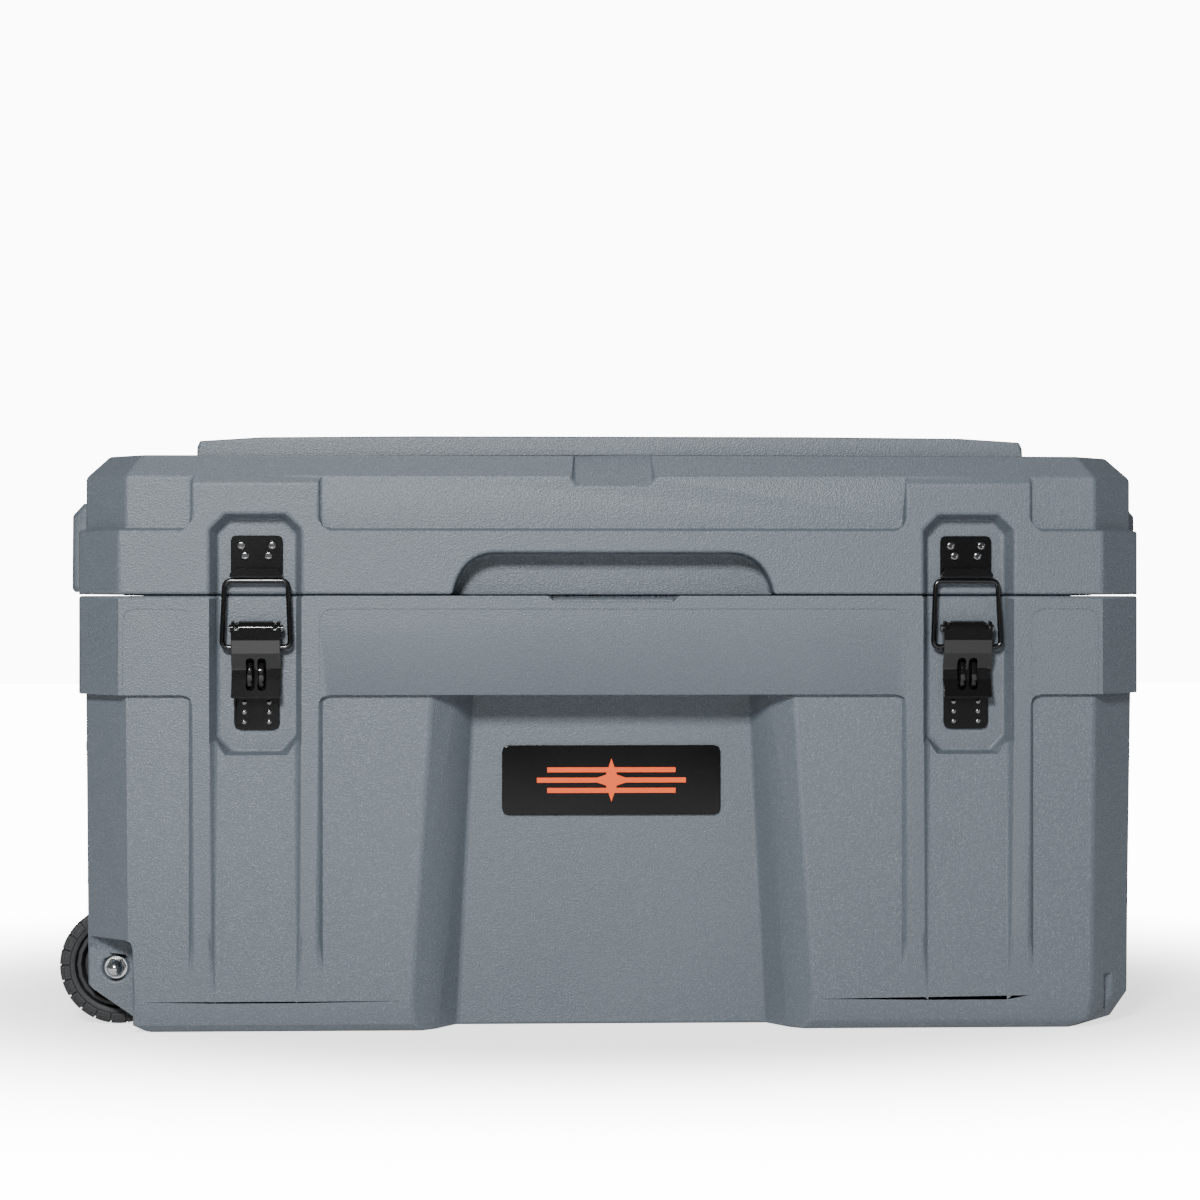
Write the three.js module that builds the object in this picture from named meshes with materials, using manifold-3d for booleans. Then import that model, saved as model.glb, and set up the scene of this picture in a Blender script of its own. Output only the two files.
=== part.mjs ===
// Wheeled hard cooler: a double-walled moulded case with a foam core, a hinged lid with a gasket,
// two draw latches, two wheels on a through axle, a carry handle, a tow handle and a drain.
// Millimetres, +Z up, front at -Y, wheels at the -X end, origin under the middle of the whole part.
import * as THREE from 'three';
import { mergeVertices } from 'three/addons/utils/BufferGeometryUtils.js';
import { ConvexGeometry } from 'three/addons/geometries/ConvexGeometry.js';
import Module from 'manifold-3d';

const wasm = await Module();
wasm.setup();

// ---------------------------------------------------------------- driving dimensions
const GAP = 0.3;                  // clearance between pieces that touch

// case
const LENGTH = 822;               // over the body and lid bands, along X
const DEPTH = 450;                // front face to rear face, along Y
const BODY_TOP = 333.25;          // rim of the body above the floor
const SEAM = 1;                   // open seam between body rim and lid
const BAND_HEIGHT = 75.5;         // thick band round the top of the body
const BAND_STEP = 5.5;            // how far the body steps in under its band
const FACET_X = 35;               // corner facets, along X and along Y
const FACET_Y = 36;
const SKIN = 5;                   // moulded plastic wall
const FRONT_WALL = 67;            // whole double wall, skin and foam
const REAR_WALL = 40;
const END_WALL = 43;
const FLOOR_WALL = 45;
const RIM_SOLID = 12;             // solid plastic under the rim
const FOOT_LEVELS = [             // rounded foot: insets along X and Y, height, facets along X and Y
  [50, 13, 0, 10, 12],
  [22, 8, 6, 24, 26],
];
const FOOT_TOP = 24;              // the walls are full from here up
const FOAM_BEHIND_POCKET = 3;     // extra plastic between a latch pocket and the foam
const FOAM_INSET = 14;            // foam inside the rear and end faces
const FILL_HOLE_R = [9, 8];       // holes that the foam is poured through, in the body and in the lid
const FILL_HOLE_FROM_SEAM = [40, 70];
const FINGER_NOTCH = { half: 46, flare: 3, drop: 5, depth: 12 };      // in the rim, under the hand scoop
const CORNER_NOTCH = { near: 21.6, far: 30, depth: 26, low: 13, high: 40 };   // at the end without wheels

// the tapered recess in the middle of the front, in two steps: half widths at the top and at the floor
const RECESS_MOUTH = [146, 164];
const RECESS_SHELF = [120, 136];
const RECESS_BACK = [107, 121];
const RECESS_SHELF_DEPTH = 22;
const RECESS_DEPTH = 45;

// ribs under the band, which taper away above the base
const RIB_FACE = 6.5;             // half widths at the face and at the root
const RIB_ROOT = 11;
const RIB_FULL_Z = 70;
const RIB_END_Z = 26;
const RIB_BESIDE = 6;             // rib centres, out from the pocket edges
const PANEL_CORNER = 9;           // rounded corners of the sunk panels
const BAND_PANEL = 0.7;           // shallow panels in the band's front and rear
const BAND_PANEL_TOP = 10;        // their top edge below the rim

// lid
const LID_BAND = 49.5;            // height of the lid's lower band
const LID_UPPER = 57.5;           // from the lower band to the shoulder
const LID_STEP = 5;
const LID_BEVEL = 17;
const PANEL_HALF = 320;           // raised top panel
const PANEL_MARGIN = 33;          // front and rear, from the case's faces
const PANEL_RISE = 15.5;
const PLUG_DROP = 15;             // inner lid step that enters the storage
const PLUG_CLEAR = 3;
const SCOOP_WIDTH = 246;          // hand scoop in the lid's front edge
const SCOOP_TOP_WIDTH = 179;
const SCOOP_HEIGHT = 32;
const SCOOP_DEPTH = 26;
const GASKET_WIDTH = 9;
const GASKET_HEIGHT = 6;
const GASKET_OUT = 4;             // gasket groove, out from the storage mouth
const LID_FOAM_INSET = 16;        // foam inside the lid's rear face
const END_BLOCK_HALF = 100;       // blocks on the lid's ends, along Y
const END_BLOCK_TOP = 73;         // above the seam
const THUMB_NOTCH_HALF = 28;      // notch in the shoulder above the scoop

// latches and the pockets they sit in
const LATCH_FROM_END = 138.5;
const POCKET_DEPTH = 16;
const POCKET_HALF = 35;
const POCKET_TAPER = 5;
const POCKET_BELOW = 122;         // pocket reach below and above the seam
const POCKET_ABOVE = 61;
const BOSS_HALF = 48.5;           // half width of the pilaster round a pocket
const PLATE = 2;                  // steel plate thickness
const LEVER_WIDTH = 37.5;
const LEVER_LENGTH = 53;          // below its hinge pin
const LEVER_SHEET = 1.8;
const LEVER_PIN_DROP = 26;        // hinge pin below the seam
const LEVER_PIN_OUT = 8.6;        // hinge pin out from the pocket floor
const LEVER_PIN_R = 2;
const BAIL_DROP = 14.3;           // bail pivot below the hinge pin
const BAIL_R = 2;
const BAIL_BESIDE = 5.25;         // wire's centre line out from the lever's side, at its top
const BAIL_SPREAD = 2.4;          // legs spread by this much at their feet
const BAIL_TOP_ABOVE = 10.5;      // top bar above the seam
const STAPLE_X = 4.4;             // padlock loops each side of centre
const STAPLE_WIRE = 3.4;
const STRIP = 2;                  // fastener strips, set flush in the wall behind a plate
const STRIP_MARGIN = 4;

// hinges
const HINGE_FROM_END = 156;
const HINGE_WIDTH = 80;
const HINGE_R = 5;
const HINGE_PIN_R = 2;
const HINGE_LEAF = 2.5;

// wheels and axle
const WHEEL_R = 45.5;
const WHEEL_WIDTH = 38;
const WHEEL_LIFT = 0.8;           // wheels hang this far off the floor
const WHEEL_CLEAR = 6;
const AXLE_FROM_END = 28;
const AXLE_R = 4;
const AXLE_PLATE_IN = 40;         // axle's outer seat, back from the front face
const AXLE_PLATE = 10;            // thickness of the wall that holds the axle
const RIM_R = 33;
const BUSH_WALL = 1.5;
const TILT_RUN = 53.5;            // sloped underside at the wheel end
const TILT_HEIGHT = 37.5;
const LUGS = 22;                  // blocks round a tyre, with narrow grooves between them
const LUG_HALF = 5.7;
const AXLE_SEAT_X = 45;           // lowered seat round the axle's nut: its edge, in from the end
const AXLE_SEAT_TOP = 71;
const AXLE_COUNTERBORE = 4;
const AXLE_COUNTERBORE_R = 10;
const WELL_EXTRA = 10;            // well wider than its wheel by this

// end handles
const HANDLE_HALF = 60;           // half the span between the arms
const HANDLE_ROD_R = 5;
const HANDLE_OUT = 8;             // rod centre out from the end wall
const GRIP_R = 11;
const GRIP_HALF = 46;
const FINGER_HALF = 50;           // finger pocket behind a grip
const FINGER_RISE = 30;
const FINGER_DEPTH = 15;
const CARRY_PIVOT_Z = 212;
const CARRY_DROP = 112;
const TOW_PIVOT_Z = 236;
const TOW_DROP = 166;

// drain
const DRAIN_Y = 150;
const DRAIN_R = 9;

// badge
const BADGE_WIDTH = 170;
const BADGE_HEIGHT = 54;
const BADGE_Z = 190;
const BADGE_THICK = 2.4;
const EMBLEM_THICK = 1;
const STAR_R = [17, 6];
const BARS = [[58, 0], [50, -8], [50, 8]];   // half length, and height from the badge's middle
const BAR_HALF = 2;

// ---------------------------------------------------------------- derived places
const halfX = LENGTH / 2;
const halfY = DEPTH / 2;
const seamZ = BODY_TOP + SEAM;
const bandZ = BODY_TOP - BAND_HEIGHT;
const lidBandZ = seamZ + LID_BAND;
const shoulderZ = lidBandZ + LID_UPPER;
const pocketFloorY = -halfY + POCKET_DEPTH;
const latchX = halfX - LATCH_FROM_END;
const bailHalf = LEVER_WIDTH / 2 + BAIL_BESIDE;
const foamFront = -halfY + POCKET_DEPTH + SKIN + FOAM_BEHIND_POCKET;
const hingeX = halfX - HINGE_FROM_END;
const hingeY = halfY + GAP + HINGE_R;
const hingeZ = BODY_TOP + SEAM / 2;
const axleX = -halfX + AXLE_FROM_END;
const axleZ = WHEEL_R + WHEEL_LIFT;
const endReach = halfX - AXLE_FROM_END + WHEEL_R;   // the lid's end blocks reach as far as the wheels
const endWallX = halfX - BAND_STEP + 0.5;           // outer face of the lower body's ends
const storage = {
  x: halfX - END_WALL,
  front: -halfY + FRONT_WALL,
  rear: halfY - REAR_WALL,
  floor: FLOOR_WALL,
  stepX: axleX + WHEEL_R + WHEEL_CLEAR + 2 * SKIN + 12,
  stepZ: axleZ + WHEEL_R + WHEEL_CLEAR + 2 * SKIN + 12,
};

// ---------------------------------------------------------------- finishes
function finish(color, roughness, metalness) {
  return new THREE.MeshStandardMaterial({ color, roughness, metalness });
}
const MOULDED = finish(0x6b737c, 0.55, 0);
const FOAM = finish(0xe8dfc0, 0.9, 0);
const BLACK_STEEL = finish(0x16171a, 0.35, 0.6);
const STAINLESS = finish(0xc4c6c9, 0.25, 1);
const RUBBER = finish(0x2b2c2e, 0.85, 0);
const NYLON = finish(0x1c1d1f, 0.5, 0);
const BADGE_BLACK = finish(0x0c0d10, 0.15, 0);
const ORANGE = finish(0xff6a00, 0.4, 0);

// ---------------------------------------------------------------- solids from geometries
const at = (x, y, z) => new THREE.Vector3(x, y, z);

// A closed solid from any three.js geometry, turned face-outward if its volume comes out negative.
function solid(geometry) {
  geometry.deleteAttribute('normal');
  geometry.deleteAttribute('uv');
  const merged = mergeVertices(geometry, 1e-3);
  const points = merged.attributes.position.array;
  const index = merged.index.array;
  const faces = [];
  let volume = 0;
  for (let i = 0; i < index.length; i += 3) {
    const [a, b, c] = [index[i], index[i + 1], index[i + 2]];
    if (a === b || b === c || c === a) continue;
    faces.push(a, b, c);
    const [p, q, r] = [a, b, c].map((n) => new THREE.Vector3().fromArray(points, n * 3));
    volume += p.dot(q.cross(r));
  }
  if (volume < 0) faces.reverse();
  return new wasm.Manifold(new wasm.Mesh({
    numProp: 3,
    vertProperties: new Float32Array(points),
    triVerts: new Uint32Array(faces),
  }));
}

// Smallest convex solid round a list of points or rings of points.
const hull = (...rings) => solid(new ConvexGeometry(rings.flat()));

const union = (...parts) => parts.reduce((sum, part) => sum.add(part));

function box(x0, x1, y0, y1, z0, z1) {
  const geometry = new THREE.BoxGeometry(x1 - x0, y1 - y0, z1 - z0);
  geometry.translate((x0 + x1) / 2, (y0 + y1) / 2, (z0 + z1) / 2);
  return solid(geometry);
}

// A cylinder along X, Y or Z; u and v are its centre on the other two axes, in X, Y, Z order.
function cylinder(axis, radius, from, to, u, v, sides = 16) {
  const geometry = new THREE.CylinderGeometry(radius, radius, to - from, sides);
  const middle = (from + to) / 2;
  if (axis === 'X') geometry.rotateZ(Math.PI / 2).translate(middle, u, v);
  if (axis === 'Y') geometry.translate(u, middle, v);
  if (axis === 'Z') geometry.rotateX(Math.PI / 2).translate(u, v, middle);
  return solid(geometry);
}

// A closed outline with rounded corners: each corner is [u, v] or [u, v, radius].
function outline(corners, radius = 0) {
  const shape = new THREE.Shape();
  const points = corners.map(([u, v]) => new THREE.Vector2(u, v));
  corners.forEach(([, , own = radius], i) => {
    const corner = points[i];
    const before = points.at(i - 1);
    const after = points[(i + 1) % points.length];
    const enter = corner.clone().add(before.clone().sub(corner).setLength(own || 1e-9));
    const leave = corner.clone().add(after.clone().sub(corner).setLength(own || 1e-9));
    if (i === 0) shape.moveTo(enter.x, enter.y);
    else shape.lineTo(enter.x, enter.y);
    if (own) shape.quadraticCurveTo(corner.x, corner.y, leave.x, leave.y);
  });
  shape.closePath();
  return shape;
}

const rectangle = (u0, u1, v0, v1) => [[u0, v0], [u1, v0], [u1, v1], [u0, v1]];

// An outline drawn in one plane and carried square to it.
const PLANES = {
  XY: [at(1, 0, 0), at(0, 1, 0), at(0, 0, 1)],
  XZ: [at(1, 0, 0), at(0, 0, 1), at(0, -1, 0)],
  YZ: [at(0, 1, 0), at(0, 0, 1), at(1, 0, 0)],
};
function extrude(shape, plane, from, to, curveSegments = 2) {
  const depth = to - from;
  const geometry = new THREE.ExtrudeGeometry(shape, { depth, bevelEnabled: false, curveSegments });
  geometry.translate(0, 0, plane === 'XZ' ? -to : from);
  geometry.applyMatrix4(new THREE.Matrix4().makeBasis(...PLANES[plane]));
  return solid(geometry);
}

// A turned profile of [radius, distance along the axis] points round an axis along Y.
function turned(profile, x, z, sides = 32) {
  const geometry = new THREE.LatheGeometry(profile.map(([r, y]) => new THREE.Vector2(r, y)), sides);
  geometry.translate(x, 0, z);
  return solid(geometry);
}

// A round rod bent along straight runs with a quadratic bend of the given radius at each corner.
function bentRod(points, bend, radius, steps, sides = 6) {
  const path = new THREE.CurvePath();
  let start = points[0];
  for (let i = 1; i < points.length - 1; i += 1) {
    const corner = points[i];
    const enter = corner.clone().add(points[i - 1].clone().sub(corner).setLength(bend));
    const leave = corner.clone().add(points[i + 1].clone().sub(corner).setLength(bend));
    path.add(new THREE.LineCurve3(start, enter));
    path.add(new THREE.QuadraticBezierCurve3(enter, corner, leave));
    start = leave;
  }
  path.add(new THREE.LineCurve3(start, points.at(-1)));
  const section = new THREE.Shape();
  section.absarc(0, 0, radius, 0, 2 * Math.PI);
  return solid(new THREE.ExtrudeGeometry(section, { extrudePath: path, steps, curveSegments: sides / 2 }));
}

// The case's eight-sided plan, as a ring of points at one height.
function plan(x0, x1, y0, y1, facetX, facetY, z) {
  return [
    at(x0 + facetX, y0, z), at(x1 - facetX, y0, z), at(x1, y0 + facetY, z), at(x1, y1 - facetY, z),
    at(x1 - facetX, y1, z), at(x0 + facetX, y1, z), at(x0, y1 - facetY, z), at(x0, y0 + facetY, z),
  ];
}
const casePlan = (insetX, insetY, z, facetX = FACET_X, facetY = FACET_Y) => plan(
  -halfX + insetX, halfX - insetX, -halfY + insetY, halfY - insetY, facetX, facetY, z);

// ---------------------------------------------------------------- the assembly
const cooler = new THREE.Group();
cooler.position.y = -(hingeY + HINGE_R - halfY) / 2;   // centres the hinge knuckles and the front face

function addPart(name, shape, material) {
  const { vertProperties, triVerts } = shape.getMesh();
  const geometry = new THREE.BufferGeometry();
  geometry.setAttribute('position', new THREE.BufferAttribute(vertProperties, 3));
  geometry.setIndex(new THREE.BufferAttribute(triVerts, 1));
  const mesh = new THREE.Mesh(geometry, material.clone());
  mesh.name = name;
  cooler.add(mesh);
}

// ---------------------------------------------------------------- case body
// The tapered two-step recess in the middle of the front, grown by `grow` for the wall behind it.
function centreRecess(grow) {
  const slab = (half0, half1, y, top) => [
    at(-half1 - grow, y, -20), at(half1 + grow, y, -20),
    at(half0 + grow, y, top + grow), at(-half0 - grow, y, top + grow),
  ];
  const shelfY = -halfY + RECESS_SHELF_DEPTH;
  const outer = hull(slab(...RECESS_MOUTH, -halfY - 1, bandZ), slab(...RECESS_SHELF, shelfY + grow, bandZ));
  const inner = hull(slab(...RECESS_SHELF, shelfY, bandZ),
    slab(...RECESS_BACK, -halfY + RECESS_DEPTH + grow, bandZ));
  return outer.add(inner);
}

// Wheel wells: one behind each axle wall, open at the end and below.
const wellFrom = halfY - AXLE_PLATE_IN - AXLE_PLATE;
const wellDepth = WHEEL_WIDTH + WELL_EXTRA;
function wheelWell(side, grow) {
  const near = side * wellFrom;
  const far = side * (wellFrom - wellDepth);
  const x = axleX + WHEEL_R + WHEEL_CLEAR + grow;
  const z = axleZ + WHEEL_R + WHEEL_CLEAR + grow;
  return box(-halfX - 20, x, Math.min(near, far) - grow, Math.max(near, far) + grow, -10, z);
}

// Sloped underside along the wheel end, which clears the ground when the case is tilted.
function tiltCut(grow) {
  const slope = TILT_HEIGHT / TILT_RUN;
  const low = -halfX + TILT_RUN + grow / slope;
  const shape = outline([
    [low + 20 / slope, -20], [low - 60 / slope, 60], [-halfX - 60, 60], [-halfX - 60, -20],
  ]);
  return extrude(shape, 'XZ', -halfY - 10, halfY + 10);
}

// Pockets that let fingers behind a grip that hangs against an end wall.
function fingerPocket(end, z, grow) {
  const x0 = end > 0 ? endWallX - FINGER_DEPTH - grow : -endWallX - 20;
  const shape = outline(rectangle(-FINGER_HALF - grow, FINGER_HALF + grow, z - FINGER_RISE - grow,
    z + FINGER_RISE + grow), 12);
  return extrude(shape, 'YZ', x0, x0 + FINGER_DEPTH + 20 + grow);
}
const carryGripZ = CARRY_PIVOT_Z - CARRY_DROP;
const towGripZ = TOW_PIVOT_Z - TOW_DROP;
const drainZ = storage.floor + DRAIN_R;

function storageSpace(grow) {
  const upper = box(-storage.x - grow, storage.x + grow, storage.front - grow, storage.rear + grow,
    storage.stepZ - grow, BODY_TOP + 10);
  const lower = box(storage.stepX - grow, storage.x + grow, storage.front - grow, storage.rear + grow,
    storage.floor - grow, storage.stepZ + 10);
  return upper.add(lower);
}

// The space between the skins. The shell is cut with gap 0 and the foam fills it with a small gap.
function bodyFoam(gap) {
  const keep = SKIN + gap;
  const front = foamFront + gap;
  const rear = halfY - FOAM_INSET - gap;
  const x = endWallX - FOAM_INSET - gap;
  const block = hull(
    plan(-x + 24, x - 24, front, rear, FACET_X, FACET_Y, 10 + gap),
    plan(-x, x, front, rear, FACET_X, FACET_Y - 12, 30 + gap),
    plan(-x, x, front, rear, FACET_X, FACET_Y - 12, BODY_TOP - RIM_SOLID - gap),
  );
  const keepOut = union(
    storageSpace(keep), centreRecess(keep), wheelWell(-1, keep), wheelWell(1, keep), tiltCut(keep + 3),
    fingerPocket(-1, carryGripZ, keep), fingerPocket(1, towGripZ, keep),
    cylinder('Y', AXLE_R + keep + 1, -halfY, halfY, axleX, axleZ, 12),
    cylinder('X', DRAIN_R + 3 + keep, storage.x - 20, halfX, DRAIN_Y, drainZ, 12),
    box(-halfX, axleX + WHEEL_R + WHEEL_CLEAR + keep, -halfY, -wellFrom + wellDepth, 0,
      axleZ + WHEEL_R + WHEEL_CLEAR + keep),
    box(-halfX, axleX + WHEEL_R + WHEEL_CLEAR + keep, wellFrom - wellDepth, halfY, 0,
      axleZ + WHEEL_R + WHEEL_CLEAR + keep),
  );
  return block.subtract(keepOut);
}

// Upright ribs flush with the band, tapering away above the base.
function rib(centre, side) {
  const face = side * halfY;
  const wall = side * (halfY - BAND_STEP);
  const root = side * (halfY - BAND_STEP - 2);
  const level = (z, y) => [
    at(centre - RIB_FACE, y, z), at(centre + RIB_FACE, y, z),
    at(centre - RIB_ROOT, root, z), at(centre + RIB_ROOT, root, z),
  ];
  return hull(level(bandZ + 3, face), level(RIB_FULL_Z, face), level(RIB_END_Z, wall));
}

// Fills the inner corner of a sunk panel so that it reads as rounded. The corner is at (x, z) on the
// face at y = side * halfY, and the panel lies towards +X or -X (sx) and up or down (sz) from it.
function panelCorner(x, z, sx, sz, side, step) {
  const arc = [[-1, -1], [1, -0.11], [1, 0], [0.52, 0.12], [0.25, 0.25], [0.12, 0.52], [0, 1], [-0.11, 1]];
  const corners = arc.map(([u, v]) => [
    x + sx * (u === -1 ? -1 : u * PANEL_CORNER), z + sz * (v === -1 ? -1 : v * PANEL_CORNER)]);
  const [from, to] = [side * (halfY - step - 1), side * halfY].sort((p, q) => p - q);
  return extrude(outline(corners), 'XZ', from, to);
}

// A latch pocket crosses the seam: `end` is where it stops, `open` a height past the rim it runs out of.
function latchPocket(x, end, open) {
  const s = Math.sign(open - end);
  const ring = (half, z, y, cut) => [
    at(x - half, y, open), at(x + half, y, open), at(x - half, y, z + s * cut), at(x + half, y, z + s * cut),
    at(x - half + cut, y, z), at(x + half - cut, y, z),
  ];
  const grow = POCKET_TAPER / POCKET_DEPTH;
  return hull(
    ring(POCKET_HALF + grow, end - s * grow, -halfY - 1, 11.5),
    ring(POCKET_HALF - POCKET_TAPER, end + s * POCKET_TAPER / 2, pocketFloorY, 11.5),
  );
}
const pocketLowZ = seamZ - POCKET_BELOW - SEAM;
const pocketHighZ = seamZ + POCKET_ABOVE;

// Plates and the holes in them. Their fasteners stand on strips set flush in the walls behind.
const keeperPlateZ = [seamZ + BAIL_TOP_ABOVE + BAIL_R + 0.6, seamZ + 45];
const keeperHoles = [[-11.8, 37.5], [11.8, 37.5], [-8.9, 29.5], [8.9, 29.5]].map(([u, v]) => [u, seamZ + v]);
const basePlateZ = [seamZ - 103.5, seamZ - 21.5];
const baseHoles = [-9.5, 9.5].flatMap((u) => [-97.5, -90, -82.5].map((v) => [u, seamZ + v]));

function fastenerStrip(holes, x, floorY, side, thickness, shankR, headR, headH) {
  const us = holes.map(([u]) => u);
  const vs = holes.map(([, v]) => v);
  const y = (d) => floorY + side * d;
  const slab = (x0, x1, d0, d1, z0, z1) => {
    const [y0, y1] = [y(d0), y(d1)].sort((p, q) => p - q);
    return box(x0, x1, y0, y1, z0, z1);
  };
  const strip = slab(x + Math.min(...us) - STRIP_MARGIN, x + Math.max(...us) + STRIP_MARGIN, -STRIP, 0,
    Math.min(...vs) - STRIP_MARGIN, Math.max(...vs) + STRIP_MARGIN);
  const pins = holes.map(([u, v]) => {
    const under = 2 * GAP + thickness;
    const shank = [y(-0.5), y(under + 0.1)].sort((p, q) => p - q);
    const head = [y(under), y(under + headH)].sort((p, q) => p - q);
    return cylinder('Y', shankR, ...shank, x + u, v, 6).add(cylinder('Y', headR, ...head, x + u, v, 6));
  });
  return union(strip, ...pins);
}
function stripRecess(holes, x, floorY, side) {
  const us = holes.map(([u]) => u);
  const vs = holes.map(([, v]) => v);
  const y0 = floorY - side * (STRIP + GAP);
  const y1 = floorY + side;
  const margin = STRIP_MARGIN + GAP;
  return box(x + Math.min(...us) - margin, x + Math.max(...us) + margin, Math.min(y0, y1), Math.max(y0, y1),
    Math.min(...vs) - margin, Math.max(...vs) + margin);
}
const hingeHoles = (z) => [-30, -10, 10, 30].map((u) => [u, z]);
const bodyLeafHoles = hingeHoles(seamZ - 40);
const lidLeafHoles = hingeHoles(seamZ + 28);

function caseBody() {
  const lower = hull(
    ...FOOT_LEVELS.map((level) => casePlan(...level)), casePlan(BAND_STEP + 1.5, BAND_STEP, FOOT_TOP),
    casePlan(BAND_STEP - 0.5, BAND_STEP, bandZ + 1),
  );
  const band = hull(casePlan(0, 0, bandZ), casePlan(0, 0, BODY_TOP));
  const ribX = POCKET_HALF + RIB_BESIDE;
  const ribs = [-1, 1].flatMap((end) => [-1, 1].flatMap((side) => [
    rib(end * latchX - ribX, side), rib(end * latchX + ribX, side),
    panelCorner(end * latchX - ribX - RIB_FACE, bandZ, -1, -1, side, BAND_STEP),
    panelCorner(end * latchX + ribX + RIB_FACE, bandZ, 1, -1, side, BAND_STEP),
  ]));
  const portZ = BODY_TOP - FILL_HOLE_FROM_SEAM[0];
  const corner = -halfX + AXLE_SEAT_X;
  const axleSeat = (side) => {
    const near = side * (halfY - AXLE_PLATE_IN);
    const far = side * (halfY + 10);
    const bore = side * (halfY - AXLE_PLATE_IN - AXLE_COUNTERBORE);
    const seat = outline([[-halfX - 20, -10], [corner, -10], [corner, AXLE_SEAT_TOP, 6],
      [-halfX - 20, AXLE_SEAT_TOP]]);
    return extrude(seat, 'XZ', Math.min(near, far), Math.max(near, far))
      .add(cylinder('Y', AXLE_COUNTERBORE_R, Math.min(near, bore) - 0.01, Math.max(near, bore) + 0.01,
        axleX, axleZ, 20));
  };
  const cornerNotch = (side) => {
    const { near, far, depth, low, high } = CORNER_NOTCH;
    const [from, to] = [side * halfY, side * (halfY - depth)].sort((m, n) => m - n);
    return box(halfX - far, halfX - near, from, to, low, high);
  };
  const { half: notchHalf, flare, drop, depth: notchDepth } = FINGER_NOTCH;
  const rimNotch = extrude(outline([
    [-notchHalf - flare, BODY_TOP + 1], [-notchHalf, BODY_TOP - drop, 2], [notchHalf, BODY_TOP - drop, 2],
    [notchHalf + flare, BODY_TOP + 1],
  ]), 'XZ', -halfY - 1, -halfY + notchDepth);
  const drainBore = cylinder('X', DRAIN_R + 3 + GAP, storage.x - 12, halfX + 10, DRAIN_Y, drainZ, 20);
  const bandPanel = (x0, x1, side) => {
    const top = BODY_TOP - BAND_PANEL_TOP;
    const [from, to] = [side * (halfY - BAND_PANEL), side * (halfY + 1)].sort((m, n) => m - n);
    return extrude(outline([[x0, bandZ - 1], [x1, bandZ - 1], [x1, top, PANEL_CORNER],
      [x0, top, PANEL_CORNER]]), 'XZ', from, to);
  };
  const beside = latchX + BOSS_HALF;
  const bandPanels = [-1, 1].flatMap((side) => [
    bandPanel(BOSS_HALF - latchX, latchX - BOSS_HALF, side),
    bandPanel(beside, halfX - FACET_X - 3, side), bandPanel(FACET_X + 3 - halfX, -beside, side),
  ]);
  const cuts = union(
    storageSpace(SKIN + GAP), centreRecess(0), wheelWell(-1, 0), wheelWell(1, 0), tiltCut(0),
    axleSeat(-1), axleSeat(1),
    cylinder('Y', AXLE_R + GAP, -halfY, halfY, axleX, axleZ, 16),
    latchPocket(-latchX, pocketLowZ, BODY_TOP + 20), latchPocket(latchX, pocketLowZ, BODY_TOP + 20),
    stripRecess(baseHoles, -latchX, pocketFloorY, -1), stripRecess(baseHoles, latchX, pocketFloorY, -1),
    stripRecess(bodyLeafHoles, -hingeX, halfY, 1), stripRecess(bodyLeafHoles, hingeX, halfY, 1),
    fingerPocket(-1, carryGripZ, 0), fingerPocket(1, towGripZ, 0),
    drainBore, ...bandPanels, cylinder('Y', FILL_HOLE_R[0], halfY - 20, halfY + 5, 0, portZ, 16),
    cornerNotch(-1), cornerNotch(1), rimNotch, bodyFoam(0),
  );
  const shell = union(lower, band, ...ribs).subtract(cuts);
  const liner = storageSpace(SKIN).intersect(box(-halfX, halfX, -halfY, halfY, 0, BODY_TOP))
    .subtract(storageSpace(0)).subtract(drainBore);
  addPart('body_shell', shell, MOULDED);
  addPart('storage_liner', liner, MOULDED);
  addPart('body_foam', bodyFoam(GAP), FOAM);
  addPart('body_fill_plug', fillPlug(portZ, halfY, FILL_HOLE_R[0]), NYLON);
}

// A push-in plug over the hole through which a wall is filled with foam.
function fillPlug(z, face, r) {
  return cylinder('Y', r - GAP, face - 9, face + 1, 0, z, 16)
    .add(cylinder('Y', r + 4, face + GAP, face + 2.5, 0, z, 20));
}
caseBody();

// ---------------------------------------------------------------- lid
function lidFoam(gap) {
  const keep = SKIN + gap;
  const front = foamFront + gap;
  const rear = halfY - LID_FOAM_INSET - gap;
  const x = halfX - LID_STEP - 12 - gap;
  const upper = hull(
    plan(-x, x, front, rear, FACET_X, FACET_Y - 10, seamZ + 9 + gap),
    plan(-x, x, front, rear, FACET_X, FACET_Y - 10, shoulderZ - LID_BEVEL - gap),
    plan(-x + 12, x - 12, front + 10, rear - 12, FACET_X, FACET_Y - 10, shoulderZ - SKIN - 3 - gap),
  );
  const inset = PLUG_CLEAR + keep;
  const plug = box(-storage.x + inset, storage.x - inset, storage.front + inset, storage.rear - inset,
    BODY_TOP - PLUG_DROP + keep, seamZ + 12);
  const scoop = box(-SCOOP_WIDTH / 2 - keep, SCOOP_WIDTH / 2 + keep, -halfY, -halfY + SCOOP_DEPTH + keep,
    seamZ, seamZ + SCOOP_HEIGHT + keep);
  return upper.add(plug).subtract(scoop);
}

// A flat ring round the storage mouth, between two heights.
function mouthRing(from, to, z0, z1) {
  const ring = (off) => rectangle(
    -storage.x - off, storage.x + off, storage.front - off, storage.rear + off);
  return extrude(outline(ring(to), 10), 'XY', z0, z1)
    .subtract(extrude(outline(ring(from), 6), 'XY', z0 - 1, z1 + 1));
}

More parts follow.
